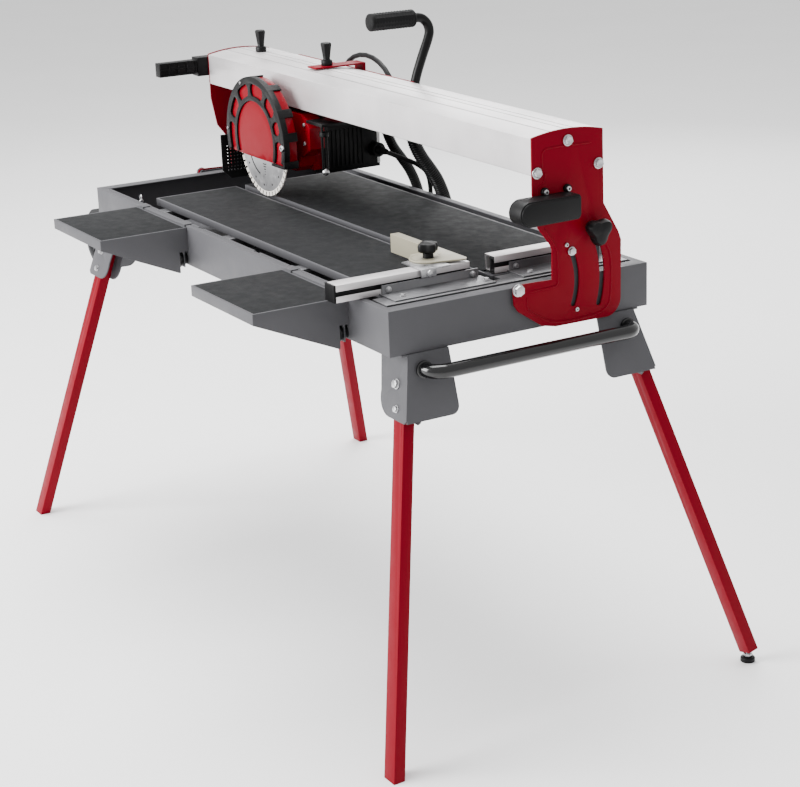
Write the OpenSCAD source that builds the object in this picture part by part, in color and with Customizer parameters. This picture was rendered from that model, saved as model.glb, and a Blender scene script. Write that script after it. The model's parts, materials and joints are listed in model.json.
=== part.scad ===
// Radial wet tile saw on a folding stand: a water tub with two work tables, a tilting guide rail,
// a saw head that slides along it and plunges, two side tables and a carry handle with wheels.
// X runs along the guide rail to the carry handle, Y from the side tables to the back, Z is up.
// The origin is on the floor, below the middle of the whole saw.

/* [Water tub] */
// Length of the water tub
tub_l = 1167; // [1160:1:1176]
// Width of the water tub
tub_w = 506; // [500:1:510]
// Height of the tub's rim above the floor
tub_top = 709; // [709:1:709]
// Depth of the tub
tub_h = 75; // [72:1:78]
// Thickness of the steel sheet
sheet_t = 2.5; // [2:0.5:3]

/* [Work tables] */
// End of the tables that is nearest to the wheels
table_start = -410; // [-415:1:-405]
// End of the tables at the fence
table_end = 500; // [495:1:500]
// Front edge of the front table
table_front = -200; // [-210:1:-195]
// Back edge of the rear table
table_back = 217; // [210:1:225]
// Width of the slot that the blade runs in
blade_slot = 19; // [17:1:21]

/* [Guide rail] */
// Width of the rail
rail_w = 142; // [140:1:143]
// Front face of the rail
rail_front = 16; // [15:0.5:16.5]
// Underside of the rail
rail_z = 889; // [889:1:892]
// Height of the rail's flat side
rail_side_h = 59.5; // [58:0.5:60]
// Rise of the rail's arched top
rail_crown = 8; // [6:0.5:9]
// Half of the rail's length
rail_half = 588.7; // [588:0.1:589]
// Thickness of the red end plates
end_plate_t = 3.5; // [3:0.5:4]

/* [Tilt] */
// Height of the tilt pivot, at the top of the work tables
pivot_z = 706.5; // [706:0.5:707]
// Largest tilt of the rail
tilt_range = 45; // [40:1:45]
// Radius of the guide pin's arc
guide_arc_r = 117; // [116:1:118]
// Radius of the clamp stud's arc
clamp_arc_r = 168; // [166:1:170]

/* [Saw blade] */
// Diameter of the blade
blade_d = 200; // [180:5:200]
// Diameter of the blade's bore
blade_bore = 25.4; // [25.4:0.1:25.4]
// Distance of the blade's centre from the middle of the tub
blade_x = -295.7; // [-297:0.1:-294]
// Height of the blade's centre
blade_z = 809.7; // [809:0.1:811]

/* [Stand] */
// Size of the leg tube along the saw
leg_deep = 30; // [28:1:30]
// Size of the leg tube across the saw
leg_wide = 20; // [18:1:20]
// Height of the leg hinges
leg_pivot_z = 581; // [581:1:581]
// Diameter of the transport wheels
wheel_d = 124; // [115:1:124]

/* [Hidden] */

// The tub's middle, from the origin
tub_x = -16.8;
tub_y = 11.5;

steel_grey = [0.62, 0.60, 0.60];
deep_red = [0.64, 0.02, 0.10];
bright_red = [0.77, 0.08, 0.12];
black = [0.06, 0.06, 0.07];
charcoal = [0.22, 0.22, 0.23];
zinc = [0.75, 0.75, 0.76];
alloy = [0.87, 0.86, 0.86];
fine = 64;
coarse = 32;
gap = 0.3;
pin_gap = 0.05;

tub_bottom = tub_top - tub_h;
tub_floor = tub_bottom + sheet_t;
tub_end = tub_l / 2;
tub_side = tub_w / 2;
rim_side = 14;
rim_end = 26;

blade_y = -15.4;
blade_r = blade_d / 2;
blade_t = 2.6;

table_z = tub_top + 1;
table_under = table_z - 14;
mat_t = 2.5;
border = 4;

rail_back = rail_front + rail_w;
rail_mid = rail_front + rail_w / 2;
rail_shoulder = rail_z + rail_side_h;
rail_crest = rail_shoulder + rail_crown;
rail_wall = 4;

plate_inside = rail_half;
plate_outside = rail_half + end_plate_t;

// Puts a part, drawn about the middle of the tub, in its place in the saw's own frame
module in_saw() translate([tub_x, tub_y, 0]) children();

// Box between two corners
module box(low, high) translate(low) cube(high - low);

// Cylinders along each axis that start at a point and run in the positive direction
module rod_x(p, r, l) translate(p) rotate([0, 90, 0]) cylinder(r = r, h = l, $fn = fine);
module rod_y(p, r, l) translate(p) rotate([-90, 0, 0]) cylinder(r = r, h = l, $fn = fine);
module rod_z(p, r, l) translate(p) cylinder(r = r, h = l, $fn = fine);

// Hexagon bolt head or nut with its washer, standing in the positive direction of X, Y or Z
module bolt_head(size, turn) rotate(turn) {
    cylinder(d = size * 2.1, h = size * 0.2, $fn = coarse);
    translate([0, 0, size * 0.2]) cylinder(d = size * 1.8, h = size * 0.6, $fn = 6);
}
to_x = [0, 90, 0];
to_y = [-90, 0, 0];
from_y = [90, 0, 0];
to_z = [0, 0, 0];

// Extrudes an outline drawn in Y and Z along X, and one drawn in X and Z along Y
module along_x(x, l) translate([x, 0, 0]) rotate([90, 0, 90]) linear_extrude(l) children();
module along_y(y, l) translate([0, y + l, 0]) rotate([90, 0, 0]) linear_extrude(l) children();

// Tube swept along a list of points, with its rings square to the path
function unit(v) = v / norm(v);
function path_dir(p, i) = unit(p[min(i + 1, len(p) - 1)] - p[max(i - 1, 0)]);
module swept_tube(p, r, sides, side_dir) {
    last = len(p) - 1;
    rings = [for (i = [0:last])
        let (t = path_dir(p, i), a = unit(cross(t, side_dir)), b = cross(t, a))
        for (k = [0:sides - 1]) p[i] + r * (cos(360 * k / sides) * a + sin(360 * k / sides) * b)];
    walls = [for (i = [0:last - 1], k = [0:sides - 1])
        [i * sides + k, (i + 1) * sides + k, (i + 1) * sides + (k + 1) % sides,
         i * sides + (k + 1) % sides]];
    caps = [[for (k = [0:sides - 1]) k], [for (k = [0:sides - 1]) last * sides + sides - 1 - k]];
    polyhedron(points = rings, faces = concat(walls, caps), convexity = 8);
}

// ---- Water tub and what is fixed to it ----

drain_at = [-470, -190];
drain_r = 13;

// Raised strip along the front rim, in lengths between the notches for the side tables' hooks
strips = [[-545, -381], [-344, -191], [-157, -126], [-106, 100], [120, 231], [265, 421]];
module rim_strips() for (s = strips)
    box([s[0], -tub_side + rim_side - 4, tub_top - 1], [s[1], -tub_side + rim_side, tub_top + 2]);

module tub() in_saw() color(steel_grey) {
    tub_shell();
    rim_strips();
}
module tub_shell() difference() {
    box([-tub_end, -tub_side, tub_bottom], [tub_end, tub_side, tub_top]);
    box([-tub_end + sheet_t, -tub_side + sheet_t, tub_floor],
        [tub_end - sheet_t, tub_side - sheet_t, tub_top - sheet_t]);
    box([-tub_end + rim_end, -tub_side + rim_side, tub_top - 2 * sheet_t],
        [tub_end - rim_end, tub_side - rim_side, tub_top + 1]);
    translate([drain_at.x, drain_at.y, tub_bottom - 1]) cylinder(r = drain_r, h = 9, $fn = fine);
}

bar_x = [-370, -90, 190];
bar_w = 30;
bar_y = tub_side - 17;
post_w = 28;
channel_x = 505;
channel_w = 46;
channel_top = tub_top + 1;

bar_z = table_under - 22;
bar_top = table_under - 8;
hairline = 0.05;
half_slot = 12;

// Bar with a pad under each table, standing on posts; the pads leave the blade's slot free
module cross_bar(x) {
    box([x, -bar_y, bar_z], [x + bar_w, bar_y, bar_top]);
    box([x, -bar_y, bar_top + hairline], [x + bar_w, blade_y - half_slot, table_under]);
    box([x, blade_y + half_slot, bar_top + hairline], [x + bar_w, bar_y, table_under]);
    for (y = [-bar_y, 24, bar_y - post_w])
        box([x, y, tub_floor], [x + bar_w, y + post_w, bar_z - hairline]);
}

module cross_members() in_saw() color(zinc) {
    for (x = bar_x) cross_bar(x);
    difference() {
        box([channel_x, -bar_y, channel_top - 20], [channel_x + channel_w, bar_y, channel_top]);
        box([channel_x + 3, -bar_y - 1, channel_top - 17],
            [channel_x + channel_w + 1, bar_y + 1, channel_top - 3]);
        box([channel_x - 1, blade_y - half_slot, channel_top - 14],
            [channel_x + 20, blade_y + half_slot, channel_top + 1]);
    }
    for (y = [-bar_y, bar_y - post_w]) box([channel_x, y, tub_floor],
        [channel_x + channel_w, y + post_w, channel_top - 20 - hairline]);
}

module work_table(y0, y1) difference() {
    box([table_start, y0, table_under], [table_end, y1, table_z]);
    box([table_start + 3, y0 + 3, table_under - 1], [table_end - 3, y1 - 3, table_under + 9]);
    box([table_start + border, y0 + border, table_z - mat_t],
        [table_end - border, y1 - border, table_z + 1]);
}
module work_mat(y0, y1, x1) box(
    [table_start + border + gap, y0 + border + gap, table_z - mat_t],
    [x1, y1 - border - gap, table_z]);

slot_front = blade_y - blade_slot / 2;
slot_back = blade_y + blade_slot / 2;
fence_x = 462;
fence_w = 30;

module front_table() in_saw() color(steel_grey) work_table(table_front, slot_front);
module rear_table() in_saw() color(steel_grey) work_table(slot_back, table_back);
module table_mats() in_saw() color(charcoal) {
    work_mat(table_front, slot_front, fence_x - 1);
    work_mat(slot_back, table_back, fence_x - 1);
}

// ---- Stand ----

// Hinge point and foot point of each leg: near and far legs fold into separate lanes
near_foot = [744.3, 366.3];
far_foot = [697.9, 391.7];
near_slope = [0.299, 0.252];
far_slope = [0.240, 0.246];
function leg_hinge(foot, slope) = foot - slope * leg_pivot_z;
near_hinge = leg_hinge(near_foot, near_slope);
far_hinge = leg_hinge(far_foot, far_slope);

leg_bolt_r = 4;
bracket_gap = 12.5;
lock_drop = 40;
inner_gap = 11;

// Places a drawing made for a front corner leg, hinge at the origin, at any corner
module at_corner(hinge, x_side, y_side)
    translate([x_side * hinge.x, y_side * hinge.y, leg_pivot_z])
    mirror([x_side < 0 ? 1 : 0, 0, 0]) mirror([0, y_side > 0 ? 1 : 0, 0]) children();

// Leans a drawing outwards about X by the leg's slope across the saw
module leaned(slope) rotate([-atan(slope.y), 0, 0]) children();
module splayed(slope) leaned(slope) rotate([0, -atan(slope.x * cos(atan(slope.y))), 0]) children();

bracket_top = tub_bottom - leg_pivot_z;
module bracket_side(from, to) rotate([90, 0, 0]) translate([0, 0, from]) linear_extrude(to - from) {
    polygon([[-70, 60], [13, 60], [46, -50], [40, -56], [-4, -56], [-43, -20]]);
    translate([-7, -20]) circle(r = 36, $fn = fine);
}

module leg_bracket(hinge, slope) intersection() {
    union() {
        difference() {
            leaned(slope) {
                bracket_side(bracket_gap, bracket_gap + sheet_t);
                bracket_side(-inner_gap - sheet_t, -inner_gap);
            }
            leaned(slope) rod_y([0, -40, 0], leg_bolt_r, 80);
        }
        leaned(slope) rotate([0, -atan(slope.x), 0])
            box([leg_deep / 2 + 0.2, -bracket_gap - 1, -52], [leg_deep / 2 + 4, inner_gap + 1, -34]);
        difference() {
            along_y(-40, 114) polygon([[13, bracket_top], [16, bracket_top], [47, -50], [44, -50]]);
            leaned(slope) box([-100, -200, -200], [200, -bracket_gap, 200]);
        }
        box([-70, -12, bracket_top - sheet_t], [14, 74, bracket_top]);
    }
    box([-100, -60, -80], [100, 80, bracket_top]);
}

module leg_brackets() in_saw() color(steel_grey) for (side = [-1, 1]) {
    at_corner(near_hinge, 1, side) leg_bracket(near_hinge, near_slope);
    at_corner(far_hinge, -1, side) leg_bracket(far_hinge, far_slope);
}

leg_end_z = 11;
foot_end_z = 21;
function leg_length(slope, end_z) = (leg_pivot_z - end_z) * norm([slope.x, slope.y, 1]);
module leg_tube(slope, end_z) {
    length = leg_length(slope, end_z);
    splayed(slope) difference() {
        union() {
            rod_y([0, -leg_wide / 2, 0], leg_deep / 2, leg_wide);
            box([-leg_deep / 2, -leg_wide / 2, -length], [leg_deep / 2, leg_wide / 2, 0]);
        }
        rod_y([0, -leg_wide, 0], leg_bolt_r + pin_gap, 2 * leg_wide);
        box([-leg_deep / 2 + 2, -leg_wide / 2 + 2, -length - 1],
            [leg_deep / 2 - 2, leg_wide / 2 - 2, -leg_deep / 2 - 2]);
    }
}
module leg_cap(slope) {
    length = leg_length(slope, leg_end_z);
    intersection() {
        splayed(slope) box([-leg_deep / 2, -leg_wide / 2, -length - 40],
                           [leg_deep / 2, leg_wide / 2, -length]);
        box([0, -400, -leg_pivot_z], [400, 0, 60 - leg_pivot_z]);
    }
}
module capped_leg(hinge, slope, x_side, y_side) in_saw() color(deep_red)
    at_corner(hinge, x_side, y_side) {
        leg_tube(slope, leg_end_z);
        leg_cap(slope);
    }
module leg_near_left() capped_leg(near_hinge, near_slope, 1, -1);
module leg_far_left() capped_leg(far_hinge, far_slope, -1, -1);
module leg_far_right() capped_leg(far_hinge, far_slope, -1, 1);

// Leg that takes the levelling foot: a plug in its end holds the foot's stem
stem_at = near_slope * (leg_pivot_z - foot_end_z - 4);
module leg_near_right() in_saw() color(deep_red) at_corner(near_hinge, 1, 1) difference() {
    union() {
        leg_tube(near_slope, foot_end_z);
        splayed(near_slope) translate([0, 0, -leg_length(near_slope, foot_end_z)])
            box([-leg_deep / 2 + 1, -leg_wide / 2 + 1, 0.5], [leg_deep / 2 - 1, leg_wide / 2 - 1, 10]);
    }
    rod_z([stem_at.x, -stem_at.y, -leg_pivot_z], stem_r + pin_gap, 60);
}

// Round foot that turns under the end of one leg to take up an uneven floor
foot_r = 13;
foot_h = 9;
stem_r = 4;
module levelling_foot() in_saw() color(black) at_corner(near_hinge, 1, 1) {
    rod_z([stem_at.x, -stem_at.y, -leg_pivot_z], foot_r, foot_h);
    rod_z([stem_at.x, -stem_at.y, -leg_pivot_z], stem_r, foot_end_z + 18);
}

carry_r = 12;
carry_x = 628;
carry_z = 610;
carry_y = 200;
carry_bend = 22;
module carry_handle() in_saw() color(black) {
    bend = [for (a = [0:15:90]) [carry_x - carry_bend * (1 - cos(a)),
                                 carry_y - carry_bend + carry_bend * sin(a), carry_z]];
    end = [[597.6, carry_y, carry_z]];
    half = concat(bend, end);
    other = [for (i = [len(half) - 1:-1:0]) [half[i].x, -half[i].y, half[i].z]];
    swept_tube(concat(other, half), carry_r, 16, [0, 0, 1]);
}

wheel_x = -665;
wheel_z = 583;
wheel_in = 190;
wheel_w = 44;
axle_r = 6;
module wheel_axle() in_saw() color(black) {
    rod_y([wheel_x, -wheel_in - wheel_w - 5, wheel_z], axle_r, 2 * (wheel_in + wheel_w + 5));
    for (y = [-163, 163]) {
        box([wheel_x - 9, y - 2, wheel_z - 9], [-tub_end, y + 2, wheel_z + 9]);
        box([-tub_end - 4, y - 10, wheel_z - 9], [-tub_end, y + 10, 690]);
    }
    for (side = [-1, 1]) rod_y([wheel_x, side * (wheel_in + wheel_w + 3.5) - 2, wheel_z], 9, 4);
}
module wheel(side) in_saw() color(black) translate([wheel_x, side * (wheel_in + wheel_w / 2), wheel_z])
    rotate([90, 0, 0]) difference() {
        cylinder(d = wheel_d, h = wheel_w, center = true, $fn = fine);
        for (z = [-1, 1]) translate([0, 0, z * wheel_w / 2])
            cylinder(r = wheel_d / 2 - 12, h = wheel_w - 10, center = true, $fn = fine);
        cylinder(r = axle_r + pin_gap, h = wheel_w + 2, center = true, $fn = fine);
    }
module wheel_left() wheel(-1);
module wheel_right() wheel(1);

// ---- Small parts in the tub ----

module drain_plug() in_saw() color(black) translate([drain_at.x, drain_at.y, tub_bottom - 3]) {
    cylinder(r = drain_r - pin_gap, h = 8, $fn = fine);
    translate([0, 0, sheet_t + 3.2]) cylinder(r = drain_r + 5, h = 4, $fn = fine);
    translate([0, 0, 9]) cylinder(r = 3, h = 6, $fn = fine);
}

link_l = 13;
link_r = 1.2;
module chain_link(turn) rotate(turn) {
    for (side = [-1, 1]) translate([side * 3.2, 0, 0]) cylinder(r = link_r, h = 6, center = true, $fn = 16);
    for (end = [-1, 1]) translate([0, 0, end * 3]) rotate([90, 0, 0]) rotate([0, 0, end > 0 ? 0 : 180])
        rotate_extrude(angle = 180, $fn = coarse) translate([3.2, 0]) circle(r = link_r, $fn = 16);
}
module plug_chain() in_saw() color(zinc)
    for (i = [0:6]) translate([-405, -tub_side + rim_side + 5, tub_top + 6 - i * 9.2])
        chain_link([0, 0, i % 2 * 90]);

// ---- Fences ----

fence_z = table_z;
fence_h = 29;
front_fence = [-294, -43];
rear_fence = [6, 226];
module fence_profile() difference() {
    square([fence_w, fence_h]);
    translate([3, 3]) square([12, fence_h - 6]);
    translate([18, 6]) square([9, fence_h - 12]);
    translate([20, 10]) square([20, 8]);
}
module fence_rails() in_saw() color(alloy) for (y = [front_fence, rear_fence])
    along_y(y[0], y[1] - y[0]) translate([fence_x, fence_z]) fence_profile();
module fence_caps() in_saw() color(black) {
    box([fence_x, front_fence[0] - 4, fence_z], [fence_x + fence_w, front_fence[0], fence_z + fence_h]);
    box([fence_x, rear_fence[1], fence_z], [fence_x + fence_w, rear_fence[1] + 4, fence_z + fence_h]);
}
angle_x = fence_x + fence_w;
module fence_angle(y0, y1) {
    box([angle_x, y0, channel_top], [angle_x + 3, y1, fence_z + 16]);
    box([angle_x, y0 - 4, channel_top], [channel_x + 38, y1 + 4, channel_top + sheet_t]);
}
module fence_brackets() in_saw() color(charcoal) {
    fence_angle(-212, -28);
    fence_angle(34, 222);
}

module frame_bolts() in_saw() color(zinc) {
    for (y = [-200, -40, 46, 210]) {
        translate([angle_x + 3, y, fence_z + 8]) bolt_head(5, to_x);
        translate([channel_x + 20, y + 8, channel_top + sheet_t]) bolt_head(5, to_z);
    }
    for (side = [-1, 1]) {
        at_corner(near_hinge, 1, side) leg_bolts(near_slope);
        at_corner(far_hinge, -1, side) leg_bolts(far_slope);
    }
}
module leg_bolts(slope) leaned(slope) {
    rod_y([0, -bracket_gap - sheet_t - 1, 0], leg_bolt_r, bracket_gap + inner_gap + 2 * sheet_t + 4);
    translate([0, -bracket_gap - sheet_t, 0]) bolt_head(8, from_y);
    rotate([0, -atan(slope.x), 0]) translate([0, -bracket_gap - sheet_t, -lock_drop])
        bolt_head(6, from_y);
}

// ---- Tilting guide rail ----

pivot = [blade_y, pivot_z];
guide_angle = 24.7;
clamp_angle = 28.5;
function on_arc(r, a) = pivot + r * [cos(a), sin(a)];
guide_at = on_arc(guide_arc_r, guide_angle);
clamp_at = on_arc(clamp_arc_r, clamp_angle);
pivot_r = 6;
guide_r = 4.5;
stud_r = 4;
slot_half = 4.9;

// Sector plate on each end of the tub, with the pivot bolt, the guide pin and the clamp stud
module tilt_bracket() {
    along_x(tub_end, 4) polygon([
        [-20, 690], [-12, 674], [32, 643], [150, 644], [150, clamp_at.y],
        [clamp_at.x + 12, clamp_at.y + 12], [clamp_at.x - 12, clamp_at.y + 12], [66, 760],
        [60, pivot_z + 5], [-14, pivot_z + 5]]);
    rod_x([tub_end, pivot.x, pivot.y], pivot_r, plate_outside - tub_end + 1);
    rod_x([tub_end, guide_at.x, guide_at.y], guide_r, plate_outside - tub_end + 1);
    rod_x([tub_end, clamp_at.x, clamp_at.y], stud_r, plate_outside - tub_end + 26);
    translate([plate_outside + 0.3, pivot.x, pivot.y]) bolt_head(10, to_x);
    translate([plate_outside + 0.3, guide_at.x, guide_at.y]) bolt_head(7, to_x);
}
module tilt_brackets() in_saw() color(charcoal) for (end = [0, 1]) mirror([end, 0, 0]) tilt_bracket();

// Slot about the pivot that a pin stays in while the plate tilts
slot_steps = 12;
function arc_points(c, r, a0, a1) =
    [for (i = [0:slot_steps]) let (a = a0 + (a1 - a0) * i / slot_steps) c + r * [cos(a), sin(a)]];
module arc_slot(r, start) {
    end = start - tilt_range;
    polygon(concat(
        arc_points(pivot, r + slot_half, end, start),
        arc_points(on_arc(r, start), slot_half, start + 15, start + 165),
        arc_points(pivot, r - slot_half, start, end),
        arc_points(on_arc(r, end), slot_half, end - 165, end - 15)));
}

// Outline of the end plate in Y and Z: the rail's end above, the tilt sector below
module plate_outline() {
    polygon(concat(
        [[15.9, 859], [26.5, 802], [49.5, 772], [53.3, 763], [52.5, 713]],
        arc_points([-14.5, 705.5], 9.5, 90, 180),
        [[-23, 682], [-15, 670], [31, 638.5], [59, 632.5], [150, 631.5]],
        arc_points([160, 662], 31, -80, 0),
        [[192.2, 760], [186.5, 775], [156.8, 826.5]],
        arc_points([rail_mid - 1.5, rail_crest + 2 - 302], 302, 76.6, 103.4)));
}
module end_plate() difference() {
    along_x(plate_inside, end_plate_t) difference() {
        plate_outline();
        arc_slot(guide_arc_r, guide_angle);
        arc_slot(clamp_arc_r, clamp_angle);
    }
    rod_x([plate_inside - 1, pivot.x, pivot.y], pivot_r + pin_gap, end_plate_t + 2);
}
module end_plate_near() in_saw() color(deep_red) end_plate();
module end_plate_far() in_saw() color(deep_red) mirror([1, 0, 0]) end_plate();

module rail_profile(inset) {
    translate([rail_front + inset, rail_z + inset])
        square([rail_w - 2 * inset, rail_side_h - inset]);
    crown_r = (pow(rail_w / 2, 2) + pow(rail_crown, 2)) / (2 * rail_crown);
    intersection() {
        translate([rail_mid, rail_crest - crown_r]) circle(r = crown_r - inset, $fn = 240);
        translate([rail_front + inset, rail_shoulder - inset - 10])
            square([rail_w - 2 * inset, rail_crown + 20]);
    }
}
lock_hole_x = -505;
module guide_rail() in_saw() color(alloy) difference() {
    along_x(-rail_half, 2 * rail_half) rail_profile(0);
    along_x(-rail_half - 1, 2 * rail_half + 2) rail_profile(rail_wall);
    rod_z([lock_hole_x, rail_mid + 8, rail_shoulder - 5], knob_stud_r + pin_gap, 30);
}

rail_bolt_at = [[85.5, 939], [25, 893], [146, 894]];
module rail_bolts() in_saw() color(zinc) for (end = [0, 1]) mirror([end, 0, 0])
    for (p = rail_bolt_at) translate([plate_outside, p[0], p[1]]) bolt_head(9, to_x);

laser_y = [-31, 88];
laser_z = [815, 857];
laser_x = plate_outside + 37;
module laser_unit() in_saw() color(black) {
    r = (laser_z[1] - laser_z[0]) / 2;
    box([plate_outside, laser_y[0] + r, laser_z[0]], [laser_x, laser_y[1], laser_z[1]]);
    rod_x([plate_outside, laser_y[0] + r, laser_z[0] + r], r, laser_x - plate_outside);
    for (y = [37, 81]) rod_x([plate_outside, y, laser_z[1] + 4], 9, 10);
}

arm_y = [-93, 15.4];
module cable_arm() in_saw() color(black) {
    box([-plate_outside - 22, arm_y[0], 912], [-plate_outside, arm_y[1], 940]);
    box([-plate_outside - 28, -8, 906], [-plate_outside, arm_y[1] + 30, 944]);
}

// Tapered clamping knob that stands on a collar, with its stud
knob_stud_r = 4;
knob_y = rail_mid + 8;
module standing_knob(x, z, stud) translate([x, knob_y, z]) {
    translate([0, 0, -stud]) cylinder(r = knob_stud_r, h = stud + 1, $fn = fine);
    cylinder(r = 11, h = 11, $fn = fine);
    translate([0, 0, 10]) cylinder(r1 = 6.5, r2 = 10.5, h = 33, $fn = fine);
}
rail_top_z = rail_crest - 0.1;
module rail_knob() in_saw() color(black) standing_knob(lock_hole_x, rail_top_z + 0.4, 16);

tilt_knob_l = 24;
module tilt_knob() difference() {
    union() {
        rod_x([plate_outside + 1.5, clamp_at.x, clamp_at.y], 10, 8);
        along_x(plate_outside + 9, tilt_knob_l) translate(clamp_at) offset(r = 6) offset(delta = -6)
            for (a = [30, 150, 270]) rotate(a) translate([11, 0]) circle(r = 13, $fn = coarse);
    }
    rod_x([plate_outside - 1, clamp_at.x, clamp_at.y], stud_r + pin_gap, 27.5);
}
module tilt_knob_near() in_saw() color(black) tilt_knob();
module tilt_knob_far() in_saw() color(black) mirror([1, 0, 0]) tilt_knob();

// ---- Carriage ----

carriage_x = [-480, -88];
back_end = -26;
bottom_z = rail_z - 13;
back_y = rail_back + 8;
back_t = 5;
strap_x = [-243, -208];
plunge_x = -430;
plunge_z = 862;
plunge_r = 6;
module carriage() in_saw() color(deep_red) {
    difference() {
        union() {
            box([carriage_x[0], 50, bottom_z], [carriage_x[1], back_y + back_t, bottom_z + 5]);
            box([carriage_x[0], back_y, bottom_z], [back_end, back_y + back_t, rail_shoulder - 2]);
            box([strap_x[0], back_y, rail_shoulder - 3], [strap_x[1], back_y + back_t, rail_crest + 5]);
            box([strap_x[0], 62, rail_crest + 2], [strap_x[1], back_y + back_t, rail_crest + 5]);
        }
        rod_z([(strap_x[0] + strap_x[1]) / 2, knob_y, rail_crest], knob_stud_r + pin_gap, 8);
    }
    for (y = [60, 154]) difference() {
        box([plunge_x - 14, y, plunge_z - 12], [plunge_x + 14, y + 6, bottom_z]);
        rod_y([plunge_x, y - 1, plunge_z], plunge_r, 8);
    }
    rod_y([plunge_x, 56, plunge_z], plunge_r, 108);
}
module carriage_knob() in_saw() color(black)
    standing_knob((strap_x[0] + strap_x[1]) / 2, rail_crest + 5.3, 4.5);

module slide_shoes() in_saw() color(charcoal) for (x = [carriage_x[0] + 10, carriage_x[1] - 70]) {
    box([x, 60, bottom_z + 5], [x + 60, 140, rail_z - gap]);
    box([x, rail_back + gap, rail_z + 10], [x + 60, back_y, rail_shoulder - 12]);
}

rod_at = [-98, 10];
module depth_rods() in_saw() color(zinc) {
    box([-150, 4, bottom_z - 5], [-88, 66, bottom_z]);
    for (y = [0, 9]) rod_z([rod_at.x, rod_at.y + y - 1, 788], 2.4, bottom_z - 788 - 4);
    translate([rod_at.x, rod_at.y + 3.5, 784]) sphere(r = 7, $fn = coarse);
    rod_z([rod_at.x, rod_at.y + 3.5, bottom_z - 24], 9, 8);
}

box_x = [-262, -78];
box_y = back_y + back_t;
module terminal_box() in_saw() color(black) {
    difference() {
        box([box_x[0], box_y, 880], [box_x[1], box_y + 50, 928]);
        box([-201, box_y + 45, 895], [-171, box_y + 51, 915]);
    }
    rod_z([hose_path[0].x, hose_path[0].y, 872], 14, 10);
    rod_z([conduit_path[0].x, conduit_path[0].y, 872], 17, 10);
    swept_tube(arch_path, 5, 12, [0, 1, 0]);
}
arch_path = [for (a = [20:14:160]) [-225 - 105 * cos(a), box_y + 12, 900 + 72 * sin(a)]];

module power_switch() in_saw() color(black) box([-200, box_y + 47.2, 896], [-172, box_y + 53.5, 914]);

// ---- Hoses: routes chosen by hand, from the terminal box down behind the tub ----

hose_d = 21;
hose_path = [
    [-212, 210, 872], [-212, 210, 858], [-211, 210, 844], [-208, 211, 828], [-203, 214, 810],
    [-199, 223, 788], [-196, 237, 767], [-195, 252, 745], [-195, 264, 721], [-196, 273, 696],
    [-198, 280, 670], [-199, 285, 645], [-200, 288, 620], [-200, 289, 597], [-200, 289, 575]];
conduit_d = 27;
conduit_path = [
    [-118, 213, 872], [-118, 213, 858], [-117, 213, 844], [-114, 215, 826], [-109, 219, 806],
    [-105, 228, 785], [-102, 242, 763], [-102, 257, 741], [-104, 270, 716], [-107, 281, 688],
    [-110, 288, 660], [-112, 292, 635], [-113, 294, 615], [-113, 295, 597], [-113, 295, 580]];
lead_d = 9;
lead_path = [
    [-176, 178, 793], [-162, 178, 793], [-150, 181, 791], [-140, 189, 787], [-134, 200, 782],
    [-131, 212, 776], [-130, 226, 769], [-130, 240, 760], [-132, 253, 749], [-135, 262, 733],
    [-137, 266, 714], [-138, 267, 697], [-139, 268, 680], [-139, 268, 663], [-139, 268, 646]];
module water_hose() in_saw() color(black) swept_tube(hose_path, hose_d / 2, 12, [0, 1, 0]);
module power_conduit() in_saw() color(black) swept_tube(conduit_path, conduit_d / 2, 12, [0, 1, 0]);
module motor_lead() in_saw() color(black) swept_tube(lead_path, lead_d / 2, 10, [1, -1, 0]);

module hang_z(p, r, l) rod_z(p - [0, 0, l], r, l);
module hose_fittings() in_saw() color(black) {
    hang_z(hose_path[len(hose_path) - 1], 13, 34);
    hang_z(conduit_path[len(conduit_path) - 1], 16, 38);
}
module lead_plug() in_saw() color(black) hang_z(lead_path[len(lead_path) - 1], 10, 42);

// ---- Saw head ----

motor_x = [-392, -200];
motor_y = [64, 190];
motor_z = [757, 868];
module motor_housing() in_saw() color(black) {
    difference() {
        box([motor_x[0], motor_y[0], motor_z[0]], [motor_x[1], motor_y[1], motor_z[1]]);
        box([motor_x[0] + 3, motor_y[0] + 3, motor_z[0] + 3],
            [motor_x[1] - 3, motor_y[1] - 3, motor_z[1] - 3]);
        rod_y([blade_x, motor_y[0] - 1, blade_z], 16, 6);
    }
    difference() {
        union() {
            box([plunge_x, 72, plunge_z - 12], [motor_x[0], 148, plunge_z + 6]);
            rod_y([plunge_x, 72, plunge_z], 12, 76);
        }
        rod_y([plunge_x, 71, plunge_z], plunge_r + pin_gap, 78);
    }
    rod_x([motor_x[1], lead_path[0].y, lead_path[0].z], 14, 20);
    rod_x([motor_x[1] + 20, lead_path[0].y, lead_path[0].z], 8, 4);
}

spindle_r = 10;
housing_front = 14;
module gear_housing() in_saw() color(deep_red) difference() {
    union() {
        along_y(housing_front, 32) polygon([
            [-424, 845], [-402, 880], [-190, 880], [-170, 870], [-156, 858], [-158, 817],
            [-180, 804], [-198, 796], [-203, 778], [-220, 766], [-330, 764], [-350, 784],
            [-424, 812]]);
        along_y(45, 19) polygon([
            [-402, 868], [-205, 868], [-205, 766], [-330, 764], [-350, 784], [-402, 804]]);
    }
    rod_y([blade_x, 13, blade_z], spindle_r + pin_gap, 52);
}

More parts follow.
